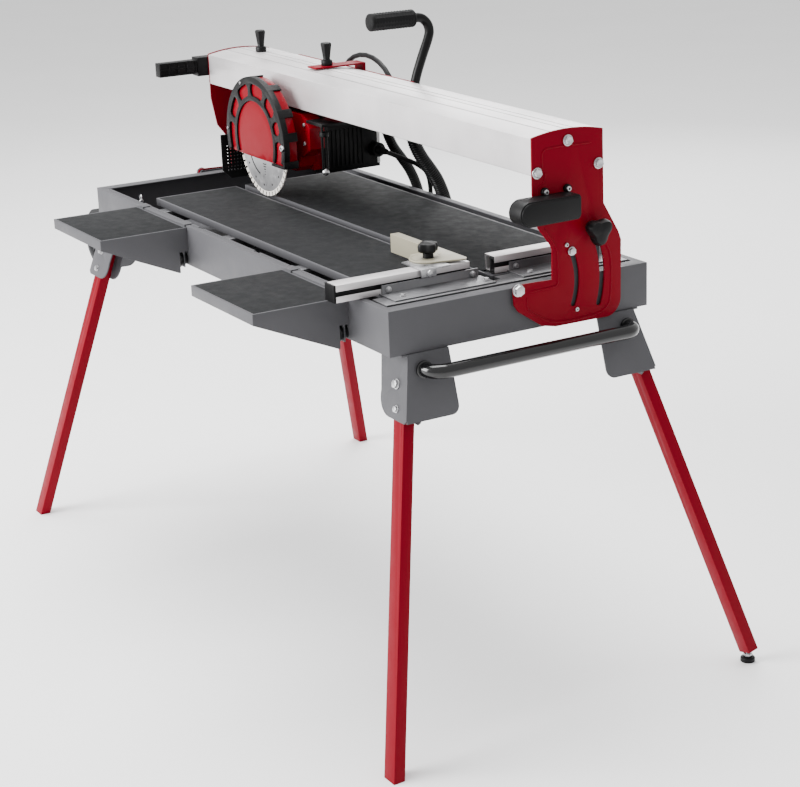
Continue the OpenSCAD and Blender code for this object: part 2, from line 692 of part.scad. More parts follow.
guard_at = [-289, 822];
guard_r = 120;
guard_y = [-34, -7];
hub_r = 36;
spindle_hole_r = 26;
guard_low = 788;
module guard_face(r) intersection() {
    translate(guard_at) circle(r = r, $fn = 96);
    translate([guard_at.x - 150, guard_low]) square([300, 300]);
}
module blade_guard() in_saw() color(bright_red) difference() {
    union() {
        along_y(guard_y[0], guard_y[1] - guard_y[0]) guard_face(guard_r);
        rod_y([blade_x, guard_y[1] - 1, blade_z], hub_r, housing_front - guard_y[1] + 1);
    }
    along_y(guard_y[0] + sheet_t, guard_y[1] - guard_y[0] - 2 * sheet_t)
        translate([0, -0.1]) intersection() {
            translate(guard_at) circle(r = guard_r - sheet_t, $fn = 96);
            translate([guard_at.x - 150, guard_low]) square([300, 300]);
        }
    rod_y([blade_x, guard_y[1] - 5, blade_z], spindle_hole_r, housing_front - guard_y[1] + 10);
}
cage_angles = [10, 32, 62, 98, 131, 163];
cage_t = 3;
ring_in = 77;
ring_w = 9;
band_half = 4;
lip_x = [-194, -168];
lip_z = [783, 797];
module ring(r, w) difference() {
    circle(r = r + w, $fn = 96);
    circle(r = r, $fn = 96);
}
module sector(a, w, r) polygon([[0, 0], r * [cos(a - w), sin(a - w)], r * [cos(a + w), sin(a + w)]]);
module cage_face() intersection() {
    translate(guard_at) {
        ring(ring_in, ring_w);
        ring(guard_r - ring_w, ring_w + cage_t);
        for (a = cage_angles) intersection() {
            ring(ring_in, guard_r - ring_in);
            sector(a, band_half, 2 * guard_r);
        }
    }
    translate([guard_at.x - 150, guard_low]) square([300, 300]);
}
module cage_bands() translate(guard_at) for (a = cage_angles) intersection() {
    ring(guard_r, cage_t);
    sector(a, band_half, 2 * guard_r);
}
module guard_cage() in_saw() color(black) {
    along_y(guard_y[0] - cage_t, cage_t) cage_face();
    along_y(guard_y[0] - cage_t, guard_y[1] - guard_y[0] + cage_t) cage_bands();
    difference() {
        box([lip_x[0], guard_y[0] - cage_t, lip_z[0]], [lip_x[1], guard_y[1], lip_z[1]]);
        along_y(guard_y[0] - 2 * cage_t, 60) guard_face(guard_r);
    }
}

flap_x = -434;
module splash_flap() in_saw() color(black) {
    along_x(flap_x, 3) polygon([[-24, 722], [12, 722], [12, 812], [-42, 812], [-42, 740]]);
    difference() {
        box([flap_x, -18, 806], [guard_at.x - guard_r + 12, 12, 812]);
        along_y(-20, 40) translate(guard_at) circle(r = guard_r, $fn = 96);
    }
}

module blade() in_saw() color(zinc) difference() {
    rod_y([blade_x, blade_y - blade_t / 2, blade_z], blade_r, blade_t);
    rod_y([blade_x, blade_y - 5, blade_z], blade_bore / 2, 10);
}
module spindle() in_saw() color(zinc) {
    rod_y([blade_x, blade_y - blade_t / 2, blade_z], blade_bore / 2, blade_t);
    rod_y([blade_x, blade_y - blade_t / 2 - 4, blade_z], 22, 4);
    rod_y([blade_x, blade_y + blade_t / 2, blade_z], 22, 4);
    rod_y([blade_x, blade_y - blade_t / 2 - 9, blade_z], 8, 5);
    rod_y([blade_x, blade_y + blade_t / 2 + 3, blade_z], spindle_r, 190 + blade_y * -1 - 40);
    rod_y([blade_x, 96, blade_z], 38, 58);
}

handle_x = -47;
handle_y = 182;
handle_r = 9;
grip_y = [88, 186];
grip_r = 17;
grip_z = 1061;
handle_low = 846;
handle_path = concat(
    [[motor_x[1], handle_y - 1, handle_low], [-120, handle_y - 1, handle_low]],
    [for (a = [0:22.5:90]) [-77 + 30 * sin(a), handle_y, handle_low + 30 * (1 - cos(a))]],
    [[handle_x, handle_y, 905], [handle_x, handle_y + 1, 926], [handle_x, handle_y + 6, 950],
     [handle_x, 202, 986], [handle_x, 216, 1018], [handle_x, 220, 1034], [handle_x, 216, 1048],
     [handle_x, 206, 1058], [handle_x, 196, grip_z], [handle_x, grip_y[1], grip_z]]);
module handle_tube() in_saw() color(black) swept_tube(handle_path, handle_r, 16, [1, -1, 1]);
module handle_grip() in_saw() color(black)
    rod_y([handle_x, grip_y[0], grip_z], grip_r, grip_y[1] - grip_y[0]);

// ---- Side tables ----

side_y = [-425, -tub_side - gap];
side_w = 226;
side_z = 706;
side_far = -381;
side_near = 230;
lip_h = 18.5;
panel_h = 84;
notch_h = 45;
notch_y = -271;
knob_back = -263;
knob_drop = 61;
module side_outline() polygon([
    [side_y[0], 0], [side_y[0], -lip_h], [notch_y - 3, -panel_h], [notch_y, -panel_h],
    [notch_y, -notch_h], [side_y[1], -notch_h], [side_y[1], 0]]);
// Hook that hangs a side table on the tub's front rim
hook_top = tub_top + 2 - side_z;
module side_hook(x) translate([x, 0, 0]) {
    box([0, side_y[1] - 2.4, -5], [30, side_y[1], hook_top]);
    box([0, side_y[1] - 2.4, hook_top - 1.7], [30, -tub_side + rim_side + 2.2, hook_top]);
    box([0, -tub_side + rim_side + 0.4, -5], [30, -tub_side + rim_side + 2.2, hook_top]);
}
// Tab with a threaded hole for the levelling knob
module side_tab() difference() {
    union() {
        box([side_w - 30, knob_back + 1, -knob_drop - 14],
            [side_w - sheet_t, knob_back + 3.5, -notch_h + 5]);
        box([side_w - 30, knob_back + 1, -notch_h + 2.5],
            [side_w - sheet_t, side_y[1], -notch_h + 5]);
    }
    rod_y([side_w - 14, knob_back - 10, -knob_drop], 4 + pin_gap, 30);
}
module side_table(x) translate([x, 0, side_z]) {
    difference() {
        along_x(0, side_w) side_outline();
        box([sheet_t, side_y[0] + sheet_t, -100], [side_w - sheet_t, side_y[1] - sheet_t, -6]);
        box([border, side_y[0] + border, -mat_t], [side_w - border, side_y[1] - border, 1]);
    }
    side_tab();
    for (at = [3, side_w - 35]) side_hook(at);
}
module side_mat(x) translate([x, 0, side_z])
    box([border + gap, side_y[0] + border + gap, -mat_t],
        [side_w - border - gap, side_y[1] - border - gap, 0]);
module side_knob(x) translate([x + side_w - 14, 0, side_z - knob_drop]) {
    rod_y([0, knob_back - 7, 0], 15, 7);
    rod_y([0, knob_back - 1, 0], 4, 6);
    rod_y([0, knob_back + 4.5, 0], 11, side_y[1] - knob_back - 4.5);
}
module side_table_far() in_saw() color(steel_grey) side_table(side_far);
module side_table_near() in_saw() color(steel_grey) side_table(side_near);
module side_mat_far() in_saw() color(charcoal) side_mat(side_far);
module side_mat_near() in_saw() color(charcoal) side_mat(side_near);
module side_knob_far() in_saw() color(black) side_knob(side_far);
module side_knob_near() in_saw() color(black) side_knob(side_near);

// ---- Angle stop on the front fence ----

stop_at = [447, -95];
stop_z = fence_z + fence_h + gap;
stop_arm_y = [-60, -43];
stop_tip_x = 264;
stop_pin_r = 4;
protractor_z = stop_z + 2.8;
module stop_slide() in_saw() color(zinc) {
    box([436, -140, stop_z], [angle_x + 8, -84, stop_z + 2.5]);
    box([angle_x + 4.5, -140, fence_z + 18], [angle_x + 8, -112, stop_z + 1]);
    translate([angle_x + 8, -126, fence_z + 24]) bolt_head(6, to_x);
    rod_z([stop_at.x, stop_at.y, stop_z + 1], stop_pin_r, 22);
}
module stop_plate() {
    translate(stop_at) circle(r = 32, $fn = fine);
    polygon([[447, -127], [stop_tip_x + 60, stop_arm_y[0]], [stop_tip_x, stop_arm_y[0]],
             [stop_tip_x, stop_arm_y[1]], [484, stop_arm_y[1]], [492, -50], [474, -112]]);
}
module stop_arm() in_saw() color(zinc) {
    difference() {
        translate([0, 0, protractor_z]) linear_extrude(2.5) difference() {
            stop_plate();
            translate([stop_tip_x - 1, -200]) square([fence_x - 50 - stop_tip_x, 200 + stop_arm_y[0]]);
        }
        rod_z([stop_at.x, stop_at.y, protractor_z - 1], stop_pin_r + pin_gap, 6);
    }
    box([stop_tip_x, stop_arm_y[0], table_z + 2], [fence_x - 6, stop_arm_y[0] + 3, protractor_z + 1]);
}
module stop_knob() in_saw() color(black) difference() {
    union() {
        rod_z([stop_at.x, stop_at.y, protractor_z + 2.8], 9, 8);
        box([stop_at.x - 16, stop_at.y - 6.5, protractor_z + 10],
            [stop_at.x + 16, stop_at.y + 6.5, protractor_z + 26]);
    }
    rod_z([stop_at.x, stop_at.y, protractor_z + 2], stop_pin_r + pin_gap, 18.5);
}

tub();
cross_members();
front_table();
rear_table();
table_mats();
leg_brackets();
carry_handle();
wheel_axle();
drain_plug();
plug_chain();
fence_rails();
fence_caps();
fence_brackets();
tilt_brackets();
frame_bolts();
guide_rail();
end_plate_near();
end_plate_far();
rail_bolts();
laser_unit();
cable_arm();
rail_knob();
tilt_knob_near();
tilt_knob_far();
carriage();
slide_shoes();
depth_rods();
terminal_box();
water_hose();
power_conduit();
hose_fittings();
carriage_knob();
power_switch();
motor_housing();
gear_housing();
blade_guard();
guard_cage();
splash_flap();
handle_tube();
handle_grip();
motor_lead();
lead_plug();
blade();
spindle();
side_table_far();
side_table_near();
side_mat_far();
side_mat_near();
side_knob_far();
side_knob_near();
stop_slide();
stop_arm();
stop_knob();
leg_near_left();
leg_near_right();
leg_far_left();
leg_far_right();
levelling_foot();
wheel_left();
wheel_right();
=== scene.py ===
import json
from math import cos, pi, radians, sin, sqrt

import bmesh
import bpy
from mathutils import Matrix, Vector


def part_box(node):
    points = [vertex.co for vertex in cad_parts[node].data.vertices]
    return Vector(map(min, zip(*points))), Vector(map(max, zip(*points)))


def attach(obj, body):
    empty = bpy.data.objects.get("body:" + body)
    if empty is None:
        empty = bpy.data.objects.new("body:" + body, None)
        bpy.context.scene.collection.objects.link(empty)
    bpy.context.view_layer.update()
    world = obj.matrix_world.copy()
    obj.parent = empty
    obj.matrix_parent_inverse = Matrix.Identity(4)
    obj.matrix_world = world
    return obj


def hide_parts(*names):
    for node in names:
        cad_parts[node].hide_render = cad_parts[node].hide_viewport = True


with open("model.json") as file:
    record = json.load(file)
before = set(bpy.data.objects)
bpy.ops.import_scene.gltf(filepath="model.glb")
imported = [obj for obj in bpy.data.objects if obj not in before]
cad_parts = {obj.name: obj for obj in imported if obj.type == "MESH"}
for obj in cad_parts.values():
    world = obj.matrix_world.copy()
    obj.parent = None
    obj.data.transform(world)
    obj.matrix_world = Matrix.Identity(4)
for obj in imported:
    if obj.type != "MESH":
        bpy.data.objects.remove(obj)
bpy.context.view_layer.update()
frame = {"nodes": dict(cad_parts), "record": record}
body_of = {
    node: body
    for body, nodes in frame["record"]["behaviour"]["bodies"].items()
    for node in nodes
}

# Lengths below are millimetres from the middle of the tub, with Z from the floor.
tub_low, tub_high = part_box("tub")
tub_middle = (tub_low + tub_high) / 2
ORIGIN = Vector((tub_middle.x, tub_middle.y, 0))


def metres(point):
    return Vector(point) / 1000 + ORIGIN


def node_box(node):
    """Lowest and highest corner of a CAD node, in millimetres from the middle of the tub."""
    low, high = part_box(node)
    return (low - ORIGIN) * 1000, (high - ORIGIN) * 1000


# ---- Places that several pieces share ----

RAIL_END = node_box("guide_rail")[1].x
PLATE = node_box("end_plate_near")[1].x  # outer face; the other plate is as far on the far side
GUARD = (-289, 822)
BLADE = (-295.7, -15.4, 809.7)
TILT_PIVOT = (-15.4, 706.5)
CLAMP_RADIUS = 168  # from the tilt pivot to the clamp knobs
CLAMP_ANGLE = 28.5
STOP_PIVOT = (447, -95)


# ---- Camera ----

def add_camera():
    """Camera at the photo's own viewpoint."""
    yaw, pitch, roll = 0.559007, 0.320191, -0.026726
    place = Vector((3211.1, -1754.7, 1561.1))
    ahead = Vector((-cos(yaw) * cos(pitch), sin(yaw) * cos(pitch), -sin(pitch)))
    right = ahead.cross(Vector((0, 0, 1))).normalized()
    up = right.cross(ahead)
    rolled_right = cos(roll) * right + sin(roll) * up
    rolled_up = cos(roll) * up - sin(roll) * right
    data = bpy.data.cameras.new("camera")
    data.sensor_width = 36
    data.lens = 90.617
    data.shift_x = -0.0847
    data.shift_y = 0.0106
    data.clip_end = 60
    camera = bpy.data.objects.new("camera", data)
    bpy.context.scene.collection.objects.link(camera)
    turn = Matrix((rolled_right, rolled_up, -ahead)).transposed().to_4x4()
    camera.matrix_world = Matrix.Translation(metres(place)) @ turn
    bpy.context.scene.camera = camera


add_camera()


# ---- Materials ----

NOISE_SPAN = (0.3, 0.7)  # where nearly all of a noise texture's values lie


class Nodes:
    """A material's node tree with short calls for the nodes used here."""

    def __init__(self, name):
        self.material = bpy.data.materials.new(name)
        self.material.use_nodes = True
        self.tree = self.material.node_tree
        self.shader = self.tree.nodes["Principled BSDF"]
        self.place = self.tree.nodes.new("ShaderNodeTexCoord").outputs["Object"]

    def link(self, source, target):
        self.tree.links.new(source, target)

    def stretched(self, scale):
        """The object's coordinates, scaled differently along each axis."""
        mapping = self.tree.nodes.new("ShaderNodeMapping")
        mapping.inputs["Scale"].default_value = scale
        self.link(self.place, mapping.inputs["Vector"])
        return mapping.outputs["Vector"]

    def noise(self, scale, detail=4.0, vector=None, roughness=0.5):
        node = self.tree.nodes.new("ShaderNodeTexNoise")
        node.inputs["Scale"].default_value = scale
        node.inputs["Detail"].default_value = detail
        node.inputs["Roughness"].default_value = roughness
        self.link(vector or self.place, node.inputs["Vector"])
        return node.outputs["Fac"]

    def voronoi(self, scale):
        node = self.tree.nodes.new("ShaderNodeTexVoronoi")
        node.inputs["Scale"].default_value = scale
        self.link(self.place, node.inputs["Vector"])
        return node.outputs["Distance"]

    def ramp(self, fac, stops):
        node = self.tree.nodes.new("ShaderNodeValToRGB")
        points = node.color_ramp.elements
        while len(points) < len(stops):
            points.new(0.5)
        for point, (at, colour) in zip(points, stops):
            point.position = at
            point.color = (*colour, 1)
        self.link(fac, node.inputs["Fac"])
        return node.outputs["Color"]

    def spread(self, fac, low, high):
        """A noise value brought to the range from low to high."""
        node = self.tree.nodes.new("ShaderNodeMapRange")
        node.inputs["From Min"].default_value = NOISE_SPAN[0]
        node.inputs["From Max"].default_value = NOISE_SPAN[1]
        node.inputs["To Min"].default_value = low
        node.inputs["To Max"].default_value = high
        self.link(fac, node.inputs["Value"])
        return node.outputs["Result"]

    def bump(self, height, distance, strength=1.0):
        node = self.tree.nodes.new("ShaderNodeBump")
        node.inputs["Distance"].default_value = distance
        node.inputs["Strength"].default_value = strength
        self.link(height, node.inputs["Height"])
        self.link(node.outputs["Normal"], self.shader.inputs["Normal"])

    def colour(self, output):
        self.link(output, self.shader.inputs["Base Color"])

    def rough(self, output):
        self.link(output, self.shader.inputs["Roughness"])

    def set(self, **values):
        for name, value in values.items():
            self.shader.inputs[name.replace("_", " ")].default_value = value


def shade(colour, amount):
    return tuple(min(1, c * amount) for c in colour)


def painted(name, colour, rough=0.4, coat=0.0, grain=900, vary=0.08, shine=0.3):
    """Paint or powder coat: slow colour drift, uneven roughness and a fine orange peel."""
    n = Nodes(name)
    stops = [(0.3, shade(colour, 1 - vary)), (0.7, shade(colour, 1 + vary))]
    n.colour(n.ramp(n.noise(6, 6), stops))
    n.rough(n.spread(n.noise(35, 8), rough - 0.06, rough + 0.08))
    n.bump(n.noise(grain, 2), 0.00006, 0.3)
    n.set(Coat_Weight=coat, Coat_Roughness=0.12, Specular_IOR_Level=shine)
    return n.material


def brushed(name, colour, rough=0.3, along=(4, 300, 300), metallic=1.0):
    """Drawn or plated metal: fine lines along the part and slow tone changes."""
    n = Nodes(name)
    lines = n.noise(1.2, 5, n.stretched(along), 0.6)
    stops = [(0.35, shade(colour, 0.9)), (0.65, shade(colour, 1.06))]
    n.colour(n.ramp(n.noise(9, 4), stops))
    n.rough(n.spread(lines, rough - 0.07, rough + 0.1))
    n.bump(lines, 0.00006, 0.4)
    n.set(Metallic=metallic)
    return n.material


def moulded(name, colour, rough=0.45, grain=1400, depth=0.00008):
    """Moulded plastic or rubber: pebbled skin, with places that shine a little more."""
    n = Nodes(name)
    stops = [(0.3, shade(colour, 0.8)), (0.7, shade(colour, 1.25))]
    n.colour(n.ramp(n.noise(14, 5), stops))
    n.rough(n.spread(n.noise(25, 6), rough - 0.08, rough + 0.1))
    n.bump(n.voronoi(grain), depth, 0.6)
    n.set(Specular_IOR_Level=0.16)
    return n.material


def rubber_mat(name, colour):
    """Dull rubber mat with a fine grain, pale dust and a few scuffs."""
    n = Nodes(name)
    dust = n.noise(5, 9, roughness=0.65)
    stops = [(0.3, shade(colour, 0.92)), (0.65, colour), (0.85, shade(colour, 1.2))]
    n.colour(n.ramp(dust, stops))
    n.rough(n.spread(n.noise(60, 6), 0.7, 0.85))
    n.bump(n.noise(1100, 3), 0.0002, 0.7)
    n.set(Specular_IOR_Level=0.15)
    return n.material


GREY = (0.066, 0.0655, 0.0705)
RED = (0.155, 0.0, 0.007)
GLOSS_RED = (0.17, 0.0, 0.006)
ALLOY = (0.66, 0.635, 0.64)
ZINC = (0.50, 0.50, 0.51)
BLACK = (0.003, 0.003, 0.0033)
CHARCOAL = (0.0065, 0.007, 0.0078)
STEEL = (0.15, 0.15, 0.157)
OILED_STEEL = (0.03, 0.031, 0.034)
CREAM = (0.27, 0.25, 0.185)
HOSE_BLACK = (0.004, 0.004, 0.0044)
WET_BLACK = (0.002, 0.002, 0.0022)
DISC_STEEL = (0.55, 0.55, 0.56)
SEGMENT = (0.66, 0.63, 0.58)
WHEEL_BLACK = (0.03, 0.03, 0.032)
TYRE_BLACK = (0.02, 0.02, 0.021)
GREEN = (0.02, 0.16, 0.04)
WHITE = (0.75, 0.75, 0.74)
# near-black for real print, and painted shade in screw recesses, fence grooves and blade holes
PRINT_AND_SHADE_BLACK = (0.015, 0.015, 0.016)

grey_coat = painted("grey_coat", GREY, 0.5, vary=0.05, shine=0.15)
red_coat = painted("red_coat", RED, 0.42, vary=0.05, shine=0.06)
red_gloss = painted("red_gloss", GLOSS_RED, 0.34, coat=0.12, grain=500, vary=0.05, shine=0.05)
rail_alloy = brushed("rail_alloy", ALLOY, 0.36, metallic=0.55)
zinc_steel = brushed("zinc_steel", ZINC, 0.3, (120, 120, 120))
dark_steel = painted("dark_steel", OILED_STEEL, 0.42, shine=0.15)
plate_steel = brushed("plate_steel", STEEL, 0.36, (90, 90, 90), 0.7)
stop_cream = painted("stop_cream", CREAM, 0.4)
table_rubber = rubber_mat("table_rubber", CHARCOAL)
black_plastic = moulded("black_plastic", BLACK, 0.42)
black_rubber = moulded("black_rubber", BLACK, 0.62, 900, 0.0002)
hose_plastic = moulded("hose_plastic", HOSE_BLACK, 0.34)
black_coat = painted("black_coat", BLACK, 0.34, shine=0.15)
gloss_black = painted("gloss_black", WET_BLACK, 0.16, coat=0.4)
blade_steel = brushed("blade_steel", DISC_STEEL, 0.34, (90, 90, 90), 0.85)
blade_rim = painted("blade_rim", SEGMENT, 0.6, grain=700)
wheel_plastic = moulded("wheel_plastic", WHEEL_BLACK, 0.5)
tyre_rubber = moulded("tyre_rubber", TYRE_BLACK, 0.7, 700, 0.0002)
switch_plastic = moulded("switch_plastic", GREEN, 0.35)
white_print = painted("white_print", WHITE, 0.5)
# real print on the blade and protractor; painted shade in screw recesses, fence grooves and blade
# holes
print_and_painted_shade = painted("print_and_painted_shade", PRINT_AND_SHADE_BLACK, 0.6)

SLOT_MATERIAL = {
    "grey_coat": grey_coat, "red_coat": red_coat, "red_gloss": red_gloss,
    "rail_alloy": rail_alloy, "zinc_steel": zinc_steel, "dark_steel": dark_steel,
    "stop_cream": stop_cream, "table_rubber": table_rubber, "black_plastic": black_plastic,
    "black_rubber": black_rubber, "hose_plastic": hose_plastic, "black_coat": black_coat,
    "switch_plastic": switch_plastic, "blade_steel": blade_steel, "wheel_plastic": wheel_plastic,
}
slot_of = {part["node"]: part["material_slot"] for part in frame["record"]["subparts"]}


# ---- The other nodes: their own shapes with rounded edges ----

USUAL_ROUNDING = 0.6
ROUNDING = {
    "tub": 1.6, "front_table": 0.8, "rear_table": 0.8, "table_mats": 0.5, "leg_brackets": 0.9,
    "motor_housing": 3.5, "gear_housing": 2.2, "carriage": 1.2, "terminal_box": 2.2,
    "fence_rails": 0.5, "side_table_far": 1.0, "side_table_near": 1.0, "side_mat_far": 0.5,
    "side_mat_near": 0.5, "end_plate_near": 0.7, "end_plate_far": 0.7,
}
LEG_CAP = 13  # the legs' rubber caps reach up to here
FENCE_INSIDE_X, FENCE_INSIDE_Z = (465, 491), (713.5, 735.5)
ROD_BALL, ROD_BALL_REACH = Vector((-98, 13.5, 784)), 16
BRACKET_LOW = 531  # lower edge of the leg brackets
BRACKET_INNER = 185  # only their corners nearer the middle than this are rounded
BRACKET_ROUND = 15


def leg_cap(centre):
    """Faces of the rubber cap at a leg's lower end."""
    return 1 if centre.z < LEG_CAP else 0


def painted_fence_groove_shade(centre):
    """Faces inside the fence's groove and hollows, which take a painted shade."""
    inside_x = FENCE_INSIDE_X[0] < centre.x < FENCE_INSIDE_X[1]
    inside_z = FENCE_INSIDE_Z[0] < centre.z < FENCE_INSIDE_Z[1]
    return 1 if inside_x and inside_z else 0


def rod_black(centre):
    """All of the rods but the bright ball at the lower end."""
    return 0 if (centre - ROD_BALL).length < ROD_BALL_REACH else 1


def beyond_plate(centre):
    """Faces outside the end plates."""
    return 1 if abs(centre.x) > PLATE - 0.2 else 0


def everywhere(_centre):
    return 1


# A node's second material, and a function that gives 1 for the faces that take it.
SECOND_MATERIAL = {
    "depth_rods": (black_coat, rod_black), "tilt_brackets": (zinc_steel, beyond_plate),
    "fence_brackets": (plate_steel, everywhere), "cross_members": (plate_steel, everywhere),
    "leg_near_left": (black_plastic, leg_cap), "leg_far_left": (black_plastic, leg_cap),
    # the fence rails' groove faces take a painted shade
    "leg_far_right": (black_plastic, leg_cap), "fence_rails": (print_and_painted_shade, painted_fence_groove_shade),
}


# ---- Mesh making ----

class Shape:
    """Vertices and faces in millimetres, with a material number on each face."""

    def __init__(self):
        self.points = []
        self.faces = []
        self.numbers = []

    def add(self, points, faces, number=0):
        start = len(self.points)
        self.points += [Vector(p) for p in points]
        self.faces += [tuple(start + i for i in face) for face in faces]
        self.numbers += [number] * len(faces)
        return self

    def grid(self, rings, number=0, caps=False):
        """Skin over rings of equal length; caps closes both ends, or the "first" or "last"."""
        wide = len(rings[0])
        faces = [
            (i * wide + k, i * wide + (k + 1) % wide,
             (i + 1) * wide + (k + 1) % wide, (i + 1) * wide + k)
            for i in range(len(rings) - 1) for k in range(wide)
        ]
        if caps in (True, "first"):
            faces.append(tuple(reversed(range(wide))))
        if caps in (True, "last"):
            faces.append(tuple((len(rings) - 1) * wide + k for k in range(wide)))
        return self.add([p for ring in rings for p in ring], faces, number)

    def prism(self, outline, placed, low, high, number=0):
        """Extrudes a 2-D outline; placed(u, v, w) gives the point at depth w."""
        return self.grid([[placed(u, v, w) for u, v in outline] for w in (low, high)],
                         number, caps=True)

    def lathe(self, profile, centre, axis, steps=40, number=0, caps=True):
        """Turns (distance along the axis, radius) points about an axis through centre."""
        along = Vector(axis).normalized()
        side = along.orthogonal().normalized()
        other = along.cross(side)
        rings = []
        for at, radius in profile:
            ring = []
            for k in range(steps):
                angle = 2 * pi * k / steps
                outward = cos(angle) * side + sin(angle) * other
                ring.append(Vector(centre) + at * along + radius * outward)
            rings.append(ring)
        return self.grid(rings, number, caps=caps)

    def tube(self, path, radius, sides):
        """Round tube along a path; radius is a number or a list with one value a point."""
        radii = radius if isinstance(radius, list) else [radius] * len(path)
        path = [Vector(p) for p in path]
        side = (path[1] - path[0]).orthogonal().normalized()
        rings = []
        for i, point in enumerate(path):
            ahead = (path[min(i + 1, len(path) - 1)] - path[max(i - 1, 0)]).normalized()
            side = (side - side.dot(ahead) * ahead).normalized()
            other = ahead.cross(side)
            ring = [point + radii[i] * (cos(2 * pi * k / sides) * side
                                        + sin(2 * pi * k / sides) * other)
                    for k in range(sides)]
            rings.append(ring)
        return self.grid(rings, caps=True)


ROUNDED_ANGLE = 28  # edges that turn more than this are rounded
SHARP_ANGLE = 35  # edges that turn more than this are shaded sharp


def round_edges(b, width):
    """Bevels the edges of a bmesh; width is in millimetres."""
    edges = [e for e in b.edges
             if len(e.link_faces) == 2 and e.calc_face_angle(0) > radians(ROUNDED_ANGLE)]
    bmesh.ops.bevel(b, geom=edges, offset=width / 1000, segments=2, profile=0.6,
                    affect="EDGES", clamp_overlap=True)


def cut_away_below(b, height):
    """Cuts a mesh flat at a height and closes the cut."""
    cut = bmesh.ops.bisect_plane(b, geom=b.verts[:] + b.edges[:] + b.faces[:],
                                 plane_co=metres((0, 0, height)), plane_no=(0, 0, -1),
                                 clear_outer=True)
    edges = [e for e in cut["geom_cut"] if isinstance(e, bmesh.types.BMEdge)]
    bmesh.ops.triangle_fill(b, edges=edges, use_beauty=True, use_dissolve=True)


def place_piece(name, b, materials, body, angle=SHARP_ANGLE, replaces=()):
    """Puts a bmesh in the scene as a piece that rides on a body."""
    mesh = bpy.data.meshes.new(name)
    b.to_mesh(mesh)
    b.free()
    for material in materials:
        mesh.materials.append(material)
    mesh.polygons.foreach_set("use_smooth", [True] * len(mesh.polygons))
    mesh.set_sharp_from_angle(angle=radians(angle))
    mesh.update()
    piece = bpy.data.objects.new(name, mesh)
    bpy.context.scene.collection.objects.link(piece)
    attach(piece, body)
    if replaces:
        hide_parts(*replaces)
    return piece


def make_piece(name, shape, materials, body, bevel=0.0, angle=SHARP_ANGLE, replaces=(),
               cut_below=None):
    """A piece from a shape, with its edges rounded by bevel millimetres."""
    b = bmesh.new()
    verts = [b.verts.new(metres(p)) for p in shape.points]
    for face, number in zip(shape.faces, shape.numbers):
        if len(set(face)) > 2:
            made = b.faces.new([verts[i] for i in face])
            made.material_index = number
    bmesh.ops.remove_doubles(b, verts=b.verts, dist=1e-6)
    if cut_below is not None:
        cut_away_below(b, cut_below)
    bmesh.ops.recalc_face_normals(b, faces=b.faces)
    if bevel:
        round_edges(b, bevel)
    return place_piece(name, b, materials, body, angle, replaces)


def round_corners(b, height, inner, radius):
    """Rounds each plate's lower corner that lies at height and nearer the middle than inner."""
    corners = []
    for e in b.edges:
        start, end = ((v.co - ORIGIN) * 1000 for v in e.verts)
        run = end - start
        level = abs(start.z - height) < 1 and abs(end.z - height) < 1
        through = 2 < run.length < 6 and abs(run.x) > 0.9 * run.length  # across the thickness
        if level and through and abs(start.y) < inner:
            corners.append(e)
    bmesh.ops.bevel(b, geom=corners, offset=radius / 1000, segments=6, profile=0.5,
                    affect="EDGES", clamp_overlap=True)


def rounded_copy(node):
    """The CAD node's own shape with its edges rounded, in its slot's material."""
    b = bmesh.new()
    b.from_mesh(frame["nodes"][node].data)
    bmesh.ops.remove_doubles(b, verts=b.verts, dist=1e-6)
    bmesh.ops.dissolve_limit(b, angle_limit=radians(1), verts=b.verts, edges=b.edges)
    if node == "leg_brackets":
        round_corners(b, BRACKET_LOW, BRACKET_INNER, BRACKET_ROUND)
    round_edges(b, ROUNDING.get(node, USUAL_ROUNDING))
    second, number = SECOND_MATERIAL.get(node, (None, None))
    materials = [SLOT_MATERIAL[slot_of[node]]] + ([second] if second else [])
    piece = place_piece(node + "_body", b, materials, body_of[node], replaces=[node])
    if second:
        for face in piece.data.polygons:
            face.material_index = number((face.center - ORIGIN) * 1000)


def curve_through(points, steps=8):
    """A smooth line through the points, by Catmull and Rom's cubic."""
    points = [Vector(p) for p in points]
    line = []
    for i in range(len(points) - 1):
        before, start = points[max(i - 1, 0)], points[i]
        end, after = points[i + 1], points[min(i + 2, len(points) - 1)]
        for k in range(steps):
            t = k / steps
            line.append(0.5 * (2 * start + (end - before) * t
                               + (2 * before - 5 * start + 4 * end - after) * t ** 2
                               + (3 * start - before - 3 * end + after) * t ** 3))
    return line + [points[-1]]


def even_steps(line, step):
    """Points a fixed distance apart along a line."""
    result, left = [line[0]], step
    for a, b in zip(line, line[1:]):
        length = (b - a).length
        while left <= length:
            result.append(a.lerp(b, left / length))
            left += step
        left -= length
    return result


# ---- Hoses and lead ----

HOSE = [
    (-212, 210, 872), (-212, 210, 858), (-211, 210, 844), (-208, 211, 828), (-203, 214, 810),
    (-199, 223, 788), (-196, 237, 767), (-195, 252, 745), (-195, 264, 721), (-196, 273, 696),
    (-198, 280, 670), (-199, 285, 645), (-200, 288, 620), (-200, 289, 597), (-200, 289, 575)]
CONDUIT = [
    (-118, 213, 872), (-118, 213, 858), (-117, 213, 844), (-114, 215, 826), (-109, 219, 806),
    (-105, 228, 785), (-102, 242, 763), (-102, 257, 741), (-104, 270, 716), (-107, 281, 688),
    (-110, 288, 660), (-112, 292, 635), (-113, 294, 615), (-113, 295, 597), (-113, 295, 580)]
LEAD = [
    (-176, 178, 793), (-162, 178, 793), (-150, 181, 791), (-140, 189, 787), (-134, 200, 782),
    (-131, 212, 776), (-130, 226, 769), (-130, 240, 760), (-132, 253, 749), (-135, 262, 733),
    (-137, 266, 714), (-138, 267, 697), (-139, 268, 680), (-139, 268, 663), (-139, 268, 646)]


RIB_STEP = 1.1  # four of these make one corrugation
SMOOTH_STEP = 6


